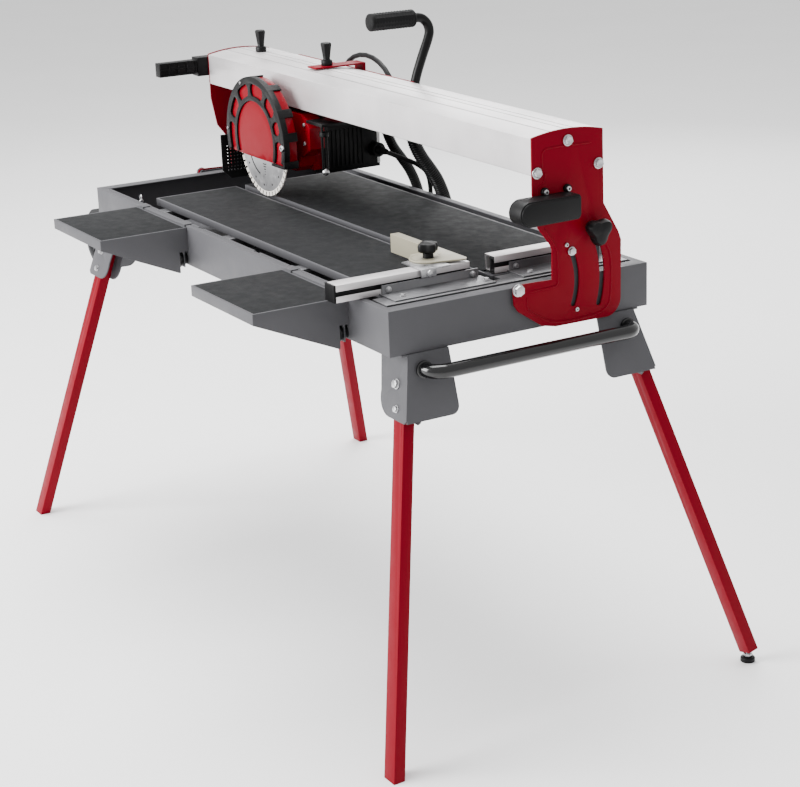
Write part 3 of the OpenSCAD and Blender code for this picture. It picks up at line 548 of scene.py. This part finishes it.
def add_end(name, top, radius, length, node):
    """Stepped coupling that hangs on the end of a hose or lead."""
    bore = radius * 0.62
    profile = [(0, bore), (0, radius - 1.5), (1.5, radius), (length * 0.35, radius),
               (length * 0.38, radius - 1.6), (length * 0.46, radius - 1.6),
               (length * 0.49, radius), (length * 0.6, radius), (length * 0.63, radius - 1.2),
               (length - 1, radius - 1.2), (length, radius - 2.2), (length, bore),
               (length - 9, bore), (length - 9, 0.5)]
    shape = Shape().lathe(profile, top, (0, 0, -1), 32)
    return make_piece(name, shape, [black_plastic], body_of[node], replaces=[node])


def add_cord(name, route, diameter, node, end, ribs=0.0):
    """A hose or lead on its route; ribs is the height of its corrugations."""
    smooth = curve_through(route)
    if ribs:
        line = even_steps(smooth, RIB_STEP)
        radii = [diameter / 2 - ribs * (0, 0.35, 1, 0.35)[i % 4] for i in range(len(line))]
    else:
        line = even_steps(smooth, SMOOTH_STEP)
        radii = [diameter / 2] * len(line)
    line[-1] = Vector(route[-1])
    shape = Shape().tube(line, radii, 24)
    material = hose_plastic if ribs else black_rubber
    piece = make_piece(name, shape, [material], body_of[node], angle=60, replaces=[node])


add_cord("water_hose_skin", HOSE, 21, "water_hose",
         add_end("water_coupling", HOSE[-1], 13, 34, "hose_fittings"), 1.3)
add_cord("power_conduit_skin", CONDUIT, 27, "power_conduit",
         add_end("conduit_coupling", CONDUIT[-1], 16, 38, "hose_fittings"), 1.6)
add_cord("motor_lead_skin", LEAD, 9, "motor_lead",
         add_end("lead_coupling", LEAD[-1], 10, 42, "lead_plug"))


# ---- Outlines and solids that several pieces share ----

def along_x(u, v, w):
    return (w, u, v)


def along_y(u, v, w):
    return (u, w, v)


def along_z(u, v, w):
    return (u, v, w)


def on_circle(centre, radius, angle):
    """The point on a circle at an angle in degrees."""
    return centre[0] + radius * cos(radians(angle)), centre[1] + radius * sin(radians(angle))


def arc(centre, radius, start, end, steps=24):
    """Points on an arc, with its angles in degrees."""
    return [on_circle(centre, radius, start + (end - start) * k / steps)
            for k in range(steps + 1)]


def block(shape, low, high, number=0):
    """Box between two corners."""
    outline = [(low[0], low[1]), (high[0], low[1]), (high[0], high[1]), (low[0], high[1])]
    return shape.prism(outline, along_z, low[2], high[2], number)


def ring_sector(shape, centre, radii, angles, placed, depths, number=0, steps=24):
    """Part of a flat ring, extruded."""
    outline = (arc(centre, radii[1], *angles, steps) + arc(centre, radii[0], *angles[::-1], steps))
    return shape.prism(outline, placed, *depths, number)


def spoke(middle, out, across, corners, placed_at):
    """Two rings of a flat bar that lies along out, for Shape.grid."""
    outline = [Vector(middle) + out * r + across * w for r, w in corners]
    return [[corner + Vector(shift) for corner in outline] for shift in placed_at]


def hexagon_bolt(shape, place, axis, size):
    """Bolt head with a washer and a dished hexagon."""
    shape.lathe([(0, 0.1), (0, size * 1.05), (size * 0.2, size * 1.05), (size * 0.2, 0.1)],
                place, axis, 32)
    profile = [(size * 0.2, 0.1), (size * 0.2, size * 0.86), (size * 0.62, size * 0.9),
               (size * 0.78, size * 0.74), (size * 0.7, size * 0.4), (size * 0.7, 0.1)]
    return shape.lathe(profile, place, axis, 6)


def socket_screw(shape, place, axis, radius, height):
    """Round screw head with a recess for the key, whose floor has material number 1, a painted
    shade.
    """
    profile = [(0, 0.1), (0, radius), (height * 0.7, radius), (height, radius * 0.8),
               (height, radius * 0.45)]
    shape.lathe(profile + [(height - 0.6, radius * 0.42)], place, axis, 28, caps="first")
    # the recess floor takes the second material: a painted shade
    return shape.lathe([(height - 0.6, radius * 0.42), (height - 0.6, 0.05)],
                       place, axis, 28, 1, "last")


def lobed(shape, profile, centre, axis, lobes, depth, turned=0.0):
    """Knob with rounded lobes; the profile gives distance along the axis and radius."""
    steps = 72
    along = Vector(axis).normalized()
    side = Vector((0, 0, 1)) if abs(along.z) < 0.5 else Vector((1, 0, 0))
    other = along.cross(side)
    rings = []
    for at, radius in profile:
        ring = []
        for k in range(steps):
            angle = 2 * pi * k / steps
            reach = radius * (1 + depth * cos(lobes * (angle - turned)))
            ring.append(Vector(centre) + at * along
                        + reach * (cos(angle) * side + sin(angle) * other))
        rings.append(ring)
    return shape.grid(rings, caps=True)


# ---- Blade guard, its cage and the splash flap ----

GUARD_CUT = 788  # the guard's shell is cut off flat at this height


def add_guard():
    """Turned shell round the blade, and the hub over the spindle."""
    shell = [(-36, 0.1), (-35.8, 30), (-35.2, 58), (-34.6, 74), (-33.4, 79), (-33, 104),
             (-31.6, 112), (-28.5, 118), (-25, 120), (-9.5, 120), (-7.6, 119), (-7, 117),
             (-7, 27), (-9.5, 27), (-9.5, 116), (-12, 117.5), (-25, 117.5), (-29, 114),
             (-30.5, 104), (-31.2, 76), (-32.6, 50), (-33.2, 0.1)]
    shape = Shape().lathe(shell, (GUARD[0], 0, GUARD[1]), (0, 1, 0), 144)
    make_piece("guard_shell", shape, [red_gloss], "head", 0.5, 30,
               ["blade_guard"], cut_below=GUARD_CUT)
    hub = [(-7.5, 26), (-7.5, 36), (12, 36), (14, 34), (14, 26), (-7.5, 26)]
    shape = Shape().lathe(hub, (BLADE[0], 0, BLADE[2]), (0, 1, 0), 64, caps=False)
    make_piece("guard_hub", shape, [red_gloss], "head", 0.4)


def add_guard_cage():
    """Ring, band, ribs and lip that grip the guard from outside, with three screws."""
    front, face, back = -37.4, -33.4, -6.4
    shape = Shape()
    ring_sector(shape, GUARD, (77, 86), (-22.5, 202.5), along_y, (front, face), steps=72)
    ring_sector(shape, GUARD, (110, 123), (-15.4, 195.4), along_y, (front + 0.4, -25), steps=72)
    for angle in (10, 32, 62, 98, 131, 163):
        flare = [(85, 7), (91, 4), (98, 3.2), (105, 4), (111, 6.5)]
        sides = [(r, angle + w) for r, w in flare] + [(r, angle - w) for r, w in flare[::-1]]
        outline = [on_circle(GUARD, r, a) for r, a in sides]
        shape.prism(outline, along_y, front + 0.2, face + 0.4)
        ring_sector(shape, GUARD, (119.7, 123.2), (angle - 4, angle + 4), along_y,
                    (front + 0.6, back), steps=6)
    for inner, near, far in ((-222, front, -31), (-194, -31.5, back)):
        lip = arc(GUARD, 120.1, -16.4, -12) + [(-168, 797), (-168, 783), (inner, 783),
                                               (inner, 787.8)]
        shape.prism(lip[::-1], along_y, near, far)
    make_piece("cage_frame", shape, [black_plastic], "head", 0.8, 35, ["guard_cage"])
    screws = Shape()
    for radius, angle, size in ((117, 1, 6.5), (116.5, 176, 3), (116.5, 115, 3)):
        x, z = on_circle(GUARD, radius, angle)
        socket_screw(screws, (x, front + 0.2, z), (0, -1, 0), size, size * 0.6)
    make_piece("cage_screws", screws, [zinc_steel, print_and_painted_shade], "head", 0, 30)


def add_flap():
    """Rubber flap with rows of small holes right through it."""
    shape = Shape()
    x0, x1 = -434, -431
    pitch, hole, sides = 7.0, 1.5, 12
    y_low, z_low, columns, rows = -32.5, 736, 6, 8
    left, right, top, tip = -42, 12, 812, 722.6

    def corner(angle):
        """Where a ray from the middle of a square cell meets its edge."""
        c, s = cos(angle), sin(angle)
        reach = pitch / 2 / max(abs(c), abs(s))
        return reach * c, reach * s

    angles = [2 * pi * (k + 0.5) / sides for k in range(sides)]
    angles = sorted(angles + [pi / 4 + pi / 2 * k for k in range(4)])
    for column in range(columns):
        for row in range(rows):
            y, z = y_low + pitch * (column + 0.5), z_low + pitch * (row + 0.5)
            rings = []
            for x, bored in ((x0, False), (x0, True), (x1, True), (x1, False)):
                ring = []
                for angle in angles:
                    v, w = (hole * cos(angle), hole * sin(angle)) if bored else corner(angle)
                    ring.append((x, y + v, z + w))
                rings.append(ring)
            shape.grid(rings)
    y_high, z_high = y_low + pitch * columns, z_low + pitch * rows
    block(shape, (x0, left, z_high), (x1, right, top))
    shape.prism([(left, z_high), (y_low, z_high), (y_low, z_low), (-37.4, z_low), (left, 740.6)],
                along_x, x0, x1)
    block(shape, (x0, y_high, z_low), (x1, right, z_high))
    shape.prism([(-37.4, z_low), (right, z_low), (right, tip), (-24, tip)], along_x, x0, x1)
    block(shape, (x0, -18, 806), (-410.2, right, top))
    make_piece("flap_sheet", shape, [black_rubber], "head", 0, 30, ["splash_flap"])


# ---- Blade ----

def add_blade():
    """Disc with a segmented rim, cooling holes drawn as discs of painted shade, and printed arcs
    that say nothing.
    """
    segments, holes, hole_circle = 45, 14, 80
    middle = (BLADE[0], BLADE[2])
    print_depth = (BLADE[1] - 1, BLADE[1] - 0.8)
    shape = Shape()
    core = [(-0.9, 12.7), (-0.9, 93), (0.9, 93), (0.9, 12.7), (-0.9, 12.7)]
    shape.lathe(core, BLADE, (0, 1, 0), 96, caps=False)
    rim = [(-1.1, 91), (-1.1, 92.5), (1.1, 92.5), (1.1, 91), (-1.1, 91)]
    shape.lathe(rim, BLADE, (0, 1, 0), 96, 1, caps=False)
    for k in range(segments):
        start = 360 / segments * k
        inner = arc(middle, 91.5, start + 1.5, start + 6.5, 2)
        outer = arc(middle, 100, start + 6, start, 3)
        shape.prism(inner + outer, along_y, BLADE[1] - 1.3, BLADE[1] + 1.3, 1)
    # the cooling holes are solid discs in a painted shade, not openings
    for k in range(holes):
        x, z = on_circle(middle, hole_circle, 360 / holes * k + 9)
        shape.lathe([(0, 0.05), (0, 2.4), (2, 2.4), (2, 0.05)], (x, BLADE[1] - 1, z),
                    (0, 1, 0), 16, 2)
    ring_sector(shape, middle, (61, 65), (197, 252), along_y, print_depth, 2)
    for k in range(5):
        ring_sector(shape, middle, (37 + 5 * k, 39 + 5 * k), (262 + 3 * k, 283 - 3 * k), along_y,
                    print_depth, 2, 6)
    make_piece("blade_disc", shape, [blade_steel, blade_rim, print_and_painted_shade], "blade_body", 0, 30,
               ["blade"])


# ---- Rail, end plates and what is on them ----

# Lines of (y, z) along which the end plates are pressed.
BEADS = [
    [(35.2, 900), (35, 921), (39, 928), (46, 930), (70, 931), (134, 929.6)],
    [(40.6, 893), (39.1, 880), (34, 874), (27, 868), (25.1, 851)],
    [(37.9, 801), (50, 782), (61, 764), (63, 755), (63.4, 712), (60, 703), (52, 701), (5, 700)],
    [(2.2, 692), (3.1, 672), (22, 657), (46, 644), (70, 639), (100, 638), (139, 640.5),
     (159, 648), (169, 666), (170.2, 731), (158, 762)],
]
GROOVES = (58, 88, 104)
RAIL_SIDE_TOP = 948.5
RAIL_BOLTS = ((85.5, 939), (25, 893), (146, 894))
PLATE_SCREWS = ((81.5, 767), (101, 655))


def add_rail():
    """Extrusion with a crowned top and a painted shade line in each groove."""
    middle, half, rise, steps = 87, 71, 8, 48
    crown = (half ** 2 + rise ** 2) / (2 * rise)
    top = []
    for k in range(steps + 1):
        y = middle + half - 2 * half * k / steps
        z = RAIL_SIDE_TOP + rise - crown + sqrt(crown ** 2 - (y - middle) ** 2)
        top.append((y, z))
    groove_shade_lines = []
    for groove in GROOVES:
        near = min(range(len(top)), key=lambda i: abs(top[i][0] - groove))
        y, z = top[near]
        groove_shade_lines.append((y, z))
        top[near:near + 1] = [(y + 1.4, z), (y + 1.2, z - 3), (y - 1.2, z - 3), (y - 1.4, z)]
    outline = [(17, 889), (157, 889), (158, 890)] + top + [(16, 890)]
    shape = Shape().prism(outline, along_x, -RAIL_END, RAIL_END)
    # dark strips in the grooves are a painted shade
    for y, z in groove_shade_lines:
        block(shape, (-RAIL_END, y - 1.2, z - 2.9), (RAIL_END, y + 1.2, z - 0.6), 1)
    make_piece("rail_body", shape, [rail_alloy, dark_steel], "rail", 0, 25, ["guide_rail"])


def add_end_plate(side, name, node):
    """The plate's own shape, with pressed beads and two small screws."""
    rounded_copy(node)
    shape = Shape()
    for bead in BEADS:
        line = curve_through([(side * (PLATE - 0.4), y, z) for y, z in bead], 5)
        radii = [1.8] * len(line)
        radii[0] = radii[-1] = 0.6
        shape.tube(line, radii, 10)
    make_piece(name + "_bead", shape, [red_coat], "rail", 0, 60)
    screws = Shape()
    for y, z in PLATE_SCREWS:
        socket_screw(screws, (side * PLATE, y, z), (side, 0, 0), 3.6, 2.6)
    make_piece(name + "_screws", screws, [zinc_steel, print_and_painted_shade], "rail", 0, 30)


def add_bolts():
    """Three hexagon heads on each end of the rail."""
    shape = Shape()
    for side in (-1, 1):
        for y, z in RAIL_BOLTS:
            hexagon_bolt(shape, (side * PLATE, y, z), (side, 0, 0), 9)
    make_piece("rail_bolts_heads", shape, [zinc_steel], "rail", 0.4, 30, ["rail_bolts"])


def add_laser():
    """Case with a round front, its lid, and two tabs with screws."""
    front, tabs, tab_z = (-10, 836), (38, 82), 861.5
    outline = arc(front, 21, 90, 270, 24) + [(82, 816), (86, 819), (88, 824),
                                             (88, 852), (86, 856), (82, 857)]
    shape = Shape().prism(outline, along_x, PLATE, PLATE + 34.5)
    make_piece("laser_body", shape, [black_plastic], "rail", 2.5, 40, ["laser_unit"])
    lid = arc(front, 18.4, 90, 270, 24) + [(82, 818.4), (85.4, 823), (85.4, 851), (82, 854.4)]
    shape = Shape().prism(lid, along_x, PLATE + 34, PLATE + 36.6)
    for y in tabs:
        tab = arc((y, tab_z), 7, -30, 210, 16)
        shape.prism(tab, along_x, PLATE, PLATE + 6)
    make_piece("laser_lid", shape, [black_plastic], "rail", 1.2, 40)
    screws = Shape()
    for y in tabs:
        socket_screw(screws, (PLATE + 6, y, tab_z), (1, 0, 0), 4.6, 3.6)
    make_piece("laser_screws", screws, [zinc_steel, print_and_painted_shade], "rail", 0, 30)


def add_cable_arm():
    """Beam with flanges, a web line and five ribs, on a foot against the far plate."""
    shape = Shape()
    block(shape, (-614, -93, 912), (-595, 16, 940))
    block(shape, (-620, -8, 906), (-592.3, 45, 944))
    block(shape, (-595.5, -93, 912), (-592.6, -7, 915))
    block(shape, (-595.5, -93, 937), (-592.6, -7, 940))
    block(shape, (-595.5, -93, 925), (-593.2, -7, 927))
    for y in range(-93, -12, 20):
        block(shape, (-595.4, y + 0.1, 912.2), (-592.8, y + 3, 939.8))
    make_piece("arm_body", shape, [black_plastic], "rail", 0.9, 35, ["cable_arm"])


# ---- Knobs ----

STUD_BORE = 4.3  # radius that leaves room round the threaded studs


def add_lock_knobs():
    """Tall tapered knobs that lock the rail and the carriage."""
    taper = [(0, 10.5), (1, 11), (9, 11), (10.5, 9.8), (11, 7), (12, 6.6), (24, 8.2), (39, 10.4),
             (42, 10.2), (43.4, 8.6), (43.6, 0.2)]
    for node, body, place in (("rail_knob", "rail_lock", (-505, 95, 956.8)),
                              ("carriage_knob", "carriage_lock", (-225.5, 95, 961.8))):
        shape = Shape()
        shape.lathe([(0, 0.2)] + taper[:4] + [(10.6, 5)], place, (0, 0, 1), 40)
        lobed(shape, [(at, radius) for at, radius in taper[3:]], place, (0, 0, 1), 8, 0.035)
        make_piece(node + "_grip", shape, [black_plastic], body, 0, 40, [node])


def add_tilt_knobs():
    """Three-winged knobs that clamp the tilt, one on each end plate."""
    wing = [(1.5, 8), (1.5, 10), (9, 10), (9.4, 13), (11, 19), (15, 21), (24, 20.5), (30, 18),
            (32.6, 12), (33, 0.3)]
    waist = STUD_BORE / 0.8  # leaves the bore open between the wings, where it is narrowest
    y, z = on_circle(TILT_PIVOT, CLAMP_RADIUS, CLAMP_ANGLE)
    for side, node, body in ((1, "tilt_knob_near", "tilt_lock_near"),
                             (-1, "tilt_knob_far", "tilt_lock_far")):
        collar = [(1.5, STUD_BORE), (1.5, 10), (9.5, 10), (9.5, STUD_BORE), (1.5, STUD_BORE)]
        shape = Shape().lathe(collar, (side * PLATE, y, z), (side, 0, 0), 36, caps=False)
        bore = [(27.5, 0.3), (27.5, waist), (9.4, waist)]
        lobed(shape, bore + wing[3:], (side * PLATE, y, z), (side, 0, 0), 3, 0.2, pi / 3)
        make_piece(node + "_grip", shape, [black_plastic], body, 0, 40, [node])


def add_side_knobs():
    """Small lobed knobs under the side tables."""
    for x, node, body in ((-169, "side_knob_far", "screw_far"),
                          (442, "side_knob_near", "screw_near")):
        place = (x, -270, 645)
        shape = Shape()
        lobed(shape, [(0, 10), (0.6, 13), (2, 14.2), (5.5, 14.2), (7, 13), (7, 4)],
              place, (0, 1, 0), 6, 0.07)
        shape.lathe([(6.9, 0.2), (6.9, 4), (12, 4), (12, 0.2)], place, (0, 1, 0), 24)
        shape.lathe([(11.5, 4), (11.5, 11), (16.7, 11), (16.7, 4)], place, (0, 1, 0), 32)
        make_piece(node + "_grip", shape, [black_plastic], body, 0, 40, [node])


def add_stop_knob():
    """Four-lobed knob that clamps the angle stop."""
    place = (*STOP_PIVOT, 744.9)
    waist = STUD_BORE / 0.86  # leaves the bore open between the lobes, where it is narrowest
    collar = [(0, STUD_BORE), (0, 9), (8, 9), (9, 7), (10, 7), (10, STUD_BORE), (0, STUD_BORE)]
    shape = Shape().lathe(collar, place, (0, 0, 1), 32, caps=False)
    bore = [(19.5, 0.3), (19.5, waist), (9, waist)]
    lobed(shape, bore + [(9, 9), (10, 14), (12, 16), (20, 16.5), (24, 15), (26, 9), (26.2, 0.3)],
          place, (0, 0, 1), 4, 0.14)
    make_piece("stop_knob_grip", shape, [black_plastic], "stop_lock", 0, 40, ["stop_knob"])


# ---- Handles ----

HANDLE = [
    (-200, 181, 846), (-150, 181, 846), (-120, 181, 846), (-77, 182, 846), (-65.5, 182, 848.3),
    (-55.8, 182, 854.8), (-49.3, 182, 864.5), (-47, 182, 876), (-47, 182, 905),
    (-47, 183, 926), (-47, 188, 950), (-47, 202, 986), (-47, 216, 1018), (-47, 220, 1034),
    (-47, 216, 1048), (-47, 206, 1058), (-47, 196, 1061), (-47, 186, 1061)]
GRIP_FROM, GRIP_TO = 88, 186
GRIP_RADIUS, GRIP_STUD = 15.8, 1.1


def add_tool_handle():
    shape = Shape().tube(curve_through(HANDLE, 5), 9, 24)
    make_piece("handle_bar", shape, [black_coat], "head", 0, 40, ["handle_tube"])


def grip_end(at):
    """Share of the grip's radius left near its rounded ends, with at going from 0 to 1."""
    free = max(0.0, (0.06 - at) / 0.06)
    joined = max(0.0, (at - 0.96) / 0.04 * 0.5)
    return sqrt(max(0.0, 1 - free ** 2)) * sqrt(max(0.0, 1 - joined ** 2))


def add_grip():
    """Rubber sleeve with twelve rows of small studs."""
    steps, rows, stud_steps = 96, 12, 6
    middle = (HANDLE[-1][0], HANDLE[-1][2])
    rings = []
    for i in range(steps + 1):
        at = i / steps
        y = GRIP_FROM + (GRIP_TO - GRIP_FROM) * at
        ring = []
        for k in range(steps):
            angle = 2 * pi * k / steps
            stud = max(0.0, cos(rows * angle)) * max(0.0, sin(pi * (i % stud_steps) / stud_steps))
            if not 0.1 < at < 0.95:
                stud = 0.6
            radius = max(0.3, (GRIP_RADIUS + GRIP_STUD * stud) * grip_end(at))
            ring.append((middle[0] + radius * cos(angle), y, middle[1] + radius * sin(angle)))
        rings.append(ring)
    shape = Shape().grid(rings, caps=True)
    make_piece("grip_sleeve", shape, [black_rubber], "head", 0, 50, ["handle_grip"])


def add_carry_handle():
    """Bar with two bends across the near end of the tub, and a collar at each foot."""
    bend, reach, x, z, foot_x = 24, 200, 628, 610, 598
    half = [(x, 0, z)] + [
        (x - bend * (1 - cos(radians(a))), reach - bend + bend * sin(radians(a)), z)
        for a in range(0, 91, 15)] + [(foot_x, reach, z)]
    path = [(px, -py, pz) for px, py, pz in half[:0:-1]] + half
    shape = Shape().tube(path, 12, 28)
    for side in (-1, 1):
        shape.lathe([(0, 12), (0, 14.5), (3, 14.5), (4, 12.5), (4, 12)],
                    (foot_x - 0.4, side * reach, z), (1, 0, 0), 32)
    make_piece("carry_bar", shape, [gloss_black], "base", 0, 40, ["carry_handle"])


# ---- Wheels and foot ----

def add_wheel(side, node, body):
    """Wheel with a ribbed tyre, a rim, spokes and a hub."""
    tyre_ribs, spokes = 5, 8
    middle = (-665, side * 212, 583)
    tyre = [(-19, 50), (-20, 56), (-17, 60)]
    for k in range(tyre_ribs):
        at = -15 + 6 * k
        tyre += [(at, 62), (at + 4, 62), (at + 4.4, 60.4), (at + 5.6, 60.4)]
    tyre += [(15, 62), (17, 60), (20, 56), (19, 50), (-19, 50)]
    shape = Shape().lathe(tyre, middle, (0, 1, 0), 72, 1, caps=False)
    rim = [(-18, 45), (-21, 47), (-21, 51), (-18, 51), (18, 51), (21, 51), (21, 47), (18, 45),
           (-18, 45)]
    shape.lathe(rim, middle, (0, 1, 0), 72, 0, caps=False)
    hub = [(-22, 6.1), (-22, 14), (-20, 16), (20, 16), (22, 14), (22, 6.1), (-22, 6.1)]
    shape.lathe(hub, middle, (0, 1, 0), 40, 0, caps=False)
    web = [(-4, 14), (-4, 46), (4, 46), (4, 14), (-4, 14)]
    shape.lathe(web, middle, (0, 1, 0), 64, 0, caps=False)
    for k in range(spokes):
        angle = 2 * pi * k / spokes
        out, across = Vector((cos(angle), 0, sin(angle))), Vector((-sin(angle), 0, cos(angle)))
        corners = ((15, -3), (46, -2.2), (46, 2.2), (15, 3))
        shape.grid(spoke(middle, out, across, corners, [(0, y, 0) for y in (-16, 16)]), caps=True)
    make_piece(node + "_made", shape, [wheel_plastic, tyre_rubber], body, 0, 35, [node])


def node_middle(node):
    low, high = node_box(node)
    return (low.x + high.x) / 2, (low.y + high.y) / 2


def add_foot():
    """Levelling foot: pad, stem and nut."""
    x, y = node_middle("levelling_foot")
    shape = Shape().lathe([(0, 0.3), (0, 12), (1, 13), (7, 13), (9, 11), (10, 6), (10, 0.3)],
                          (x, y, 0), (0, 0, 1), 40)
    shape.lathe([(9, 0.2), (9, 4), (39, 4), (39, 0.2)], (x, y, 0), (0, 0, 1), 20, 1)
    shape.lathe([(10.5, 0.2), (10.5, 8), (15.5, 8), (15.5, 0.2)], (x, y, 0), (0, 0, 1), 6, 1)
    make_piece("foot_pad", shape, [black_plastic, zinc_steel], "foot", 0.4, 30,
               ["levelling_foot"])


# ---- Motor, terminal box and stop ----

def add_motor_details():
    """Cooling ribs, a plain strip, four screws and the lead's strain relief."""
    shape = Shape()
    for k in range(9):
        block(shape, (-200.5, 74 + 9.5 * k, 768), (-198, 78 + 9.5 * k, 840))
    for k in range(12):
        block(shape, (-385 + 15 * k, 189.5, 770), (-378 + 15 * k, 192, 850))
    make_piece("motor_ribs", shape, [black_plastic], "head", 0.5)
    shape = Shape()
    block(shape, (-200.4, 184.5, 764), (-199.2, 190.8, 862))
    make_piece("motor_strip", shape, [white_print], "head", 0.2)
    shape = Shape()
    for x, z in ((-176, 862), (-176, 826), (-398, 852), (-214, 776)):
        socket_screw(shape, (x, 14, z), (0, -1, 0), 4.2, 3.4)
    make_piece("gear_screws", shape, [zinc_steel, print_and_painted_shade], "head", 0, 30)
    relief = [(0, 4.5), (0, 9.5), (3, 9.5), (5, 8)]
    for k in range(6):
        at = 5 + 3.4 * k
        relief += [(at, 8 - 0.5 * k), (at + 2, 8 - 0.5 * k), (at + 2.2, 6.4 - 0.3 * k),
                   (at + 3.2, 6.4 - 0.3 * k)]
    relief += [(26, 4.7), (0, 4.5)]
    shape = Shape().lathe(relief, LEAD[0], (1, 0, 0), 28, caps=False)
    make_piece("lead_relief", shape, [black_rubber], "head", 0, 35)


def add_terminal_details():
    """Lid and bars of the terminal box, its screws and the nuts of its two hoses."""
    shape = Shape()
    block(shape, (-259, 169, 927.5), (-81, 215, 930))
    for z in (886, 922):
        block(shape, (-258, 215.5, z - 1.5), (-206, 217.2, z + 1.5))
        block(shape, (-166, 215.5, z - 1.5), (-82, 217.2, z + 1.5))
    make_piece("terminal_lid", shape, [black_plastic], "carriage_body", 0.8)
    screws = Shape()
    for x in (-253, -87):
        for y in (173, 211):
            socket_screw(screws, (x, y, 930), (0, 0, 1), 3, 1.6)
    make_piece("terminal_screws", screws, [zinc_steel, print_and_painted_shade], "carriage_body", 0, 30)
    shape = Shape()
    for (x, y, _z), radius in ((HOSE[0], 14), (CONDUIT[0], 17)):
        profile = [(0, radius - 5), (0, radius), (2, radius), (2.6, radius - 1.4),
                   (4.4, radius - 1.4), (5, radius), (9.5, radius), (10, radius - 2)]
        shape.lathe(profile, (x, y, 871.8), (0, 0, 1), 32)
    make_piece("terminal_nuts", shape, [black_plastic], "carriage_body", 0, 30)


def add_stop_scale():
    """Degree lines on the protractor; every third one is longer."""
    lines = 19
    shape = Shape()
    for k in range(lines):
        angle = radians(105 + 10 * k)
        inner = 24.5 if k % 3 == 0 else 27
        out, across = Vector((cos(angle), sin(angle), 0)), Vector((-sin(angle), cos(angle), 0))
        corners = ((inner, -0.4), (30.5, -0.4), (30.5, 0.4), (inner, 0.4))
        shape.grid(spoke((*STOP_PIVOT, 0), out, across, corners,
                         [(0, 0, z) for z in (744.4, 744.7)]), caps=True)
    make_piece("stop_scale", shape, [print_and_painted_shade], "stop_fence")


def add_plug():
    """Stopper with a neck and a wide flange."""
    x, y = node_middle("drain_plug")
    profile = [(0, 0.2), (0, 12.9), (8, 12.9), (8.2, 18), (12.2, 18), (13, 16), (13, 4), (17, 3),
               (17, 0.2)]
    shape = Shape().lathe(profile, (x, y, 631), (0, 0, 1), 36)
    make_piece("plug_body", shape, [black_rubber], "plug", 0.4, 30, ["drain_plug"])


for add in (add_guard, add_guard_cage, add_flap, add_blade, add_rail, add_bolts, add_laser,
            add_cable_arm, add_lock_knobs, add_tilt_knobs, add_side_knobs, add_stop_knob,
            add_tool_handle, add_grip, add_carry_handle, add_foot, add_motor_details,
            add_terminal_details, add_stop_scale, add_plug):
    add()
add_end_plate(1, "near_plate", "end_plate_near")
add_end_plate(-1, "far_plate", "end_plate_far")
add_wheel(-1, "wheel_left", "wheel_l")
add_wheel(1, "wheel_right", "wheel_r")


# ---- Studio ----

def add_area(name, place, target, size, power):
    """Square light that faces its target; places and sizes here are metres."""
    data = bpy.data.lights.new(name, "AREA")
    data.energy = power
    data.size = size
    light = bpy.data.objects.new(name, data)
    bpy.context.scene.collection.objects.link(light)
    light.location = place
    light.rotation_euler = (Vector(target) - Vector(place)).to_track_quat("-Z", "Y").to_euler()
    return light


def add_studio():
    """Pale floor, even light from all round and three soft lamps."""
    half = 30
    world_strength = 1.1
    low_target, high_target = (0, 0, 0.7), (0, 0, 0.8)
    mesh = bpy.data.meshes.new("floor")
    mesh.from_pydata([(-half, -half, 0), (half, -half, 0), (half, half, 0), (-half, half, 0)],
                     [], [(0, 1, 2, 3)])
    floor = bpy.data.objects.new("floor", mesh)
    bpy.context.scene.collection.objects.link(floor)
    n = Nodes("floor_paper")
    n.colour(n.ramp(n.noise(2, 3), [(0.3, (0.9, 0.9, 0.9)), (0.7, (0.92, 0.92, 0.92))]))
    n.set(Roughness=0.9)
    mesh.materials.append(n.material)
    world = bpy.data.worlds.new("studio")
    world.use_nodes = True
    background = world.node_tree.nodes["Background"]
    background.inputs["Color"].default_value = (1, 1, 1, 1)
    background.inputs["Strength"].default_value = world_strength
    bpy.context.scene.world = world
    lights = [
        add_area("key", (-1.2, -4.4, 2.2), low_target, 2.8, 540),
        add_area("top", (-0.9, 0.1, 4.4), low_target, 3.0, 330),
        add_area("back", (-3.0, 2.8, 2.2), high_target, 2.0, 60),
    ]


add_studio()
bpy.context.view_layer.update()
for node, thing in frame["nodes"].items():
    thing.data.materials.clear()
    thing.data.materials.append(SLOT_MATERIAL[slot_of[node]])
    if not thing.hide_render and node != "plug_chain":
        rounded_copy(node)
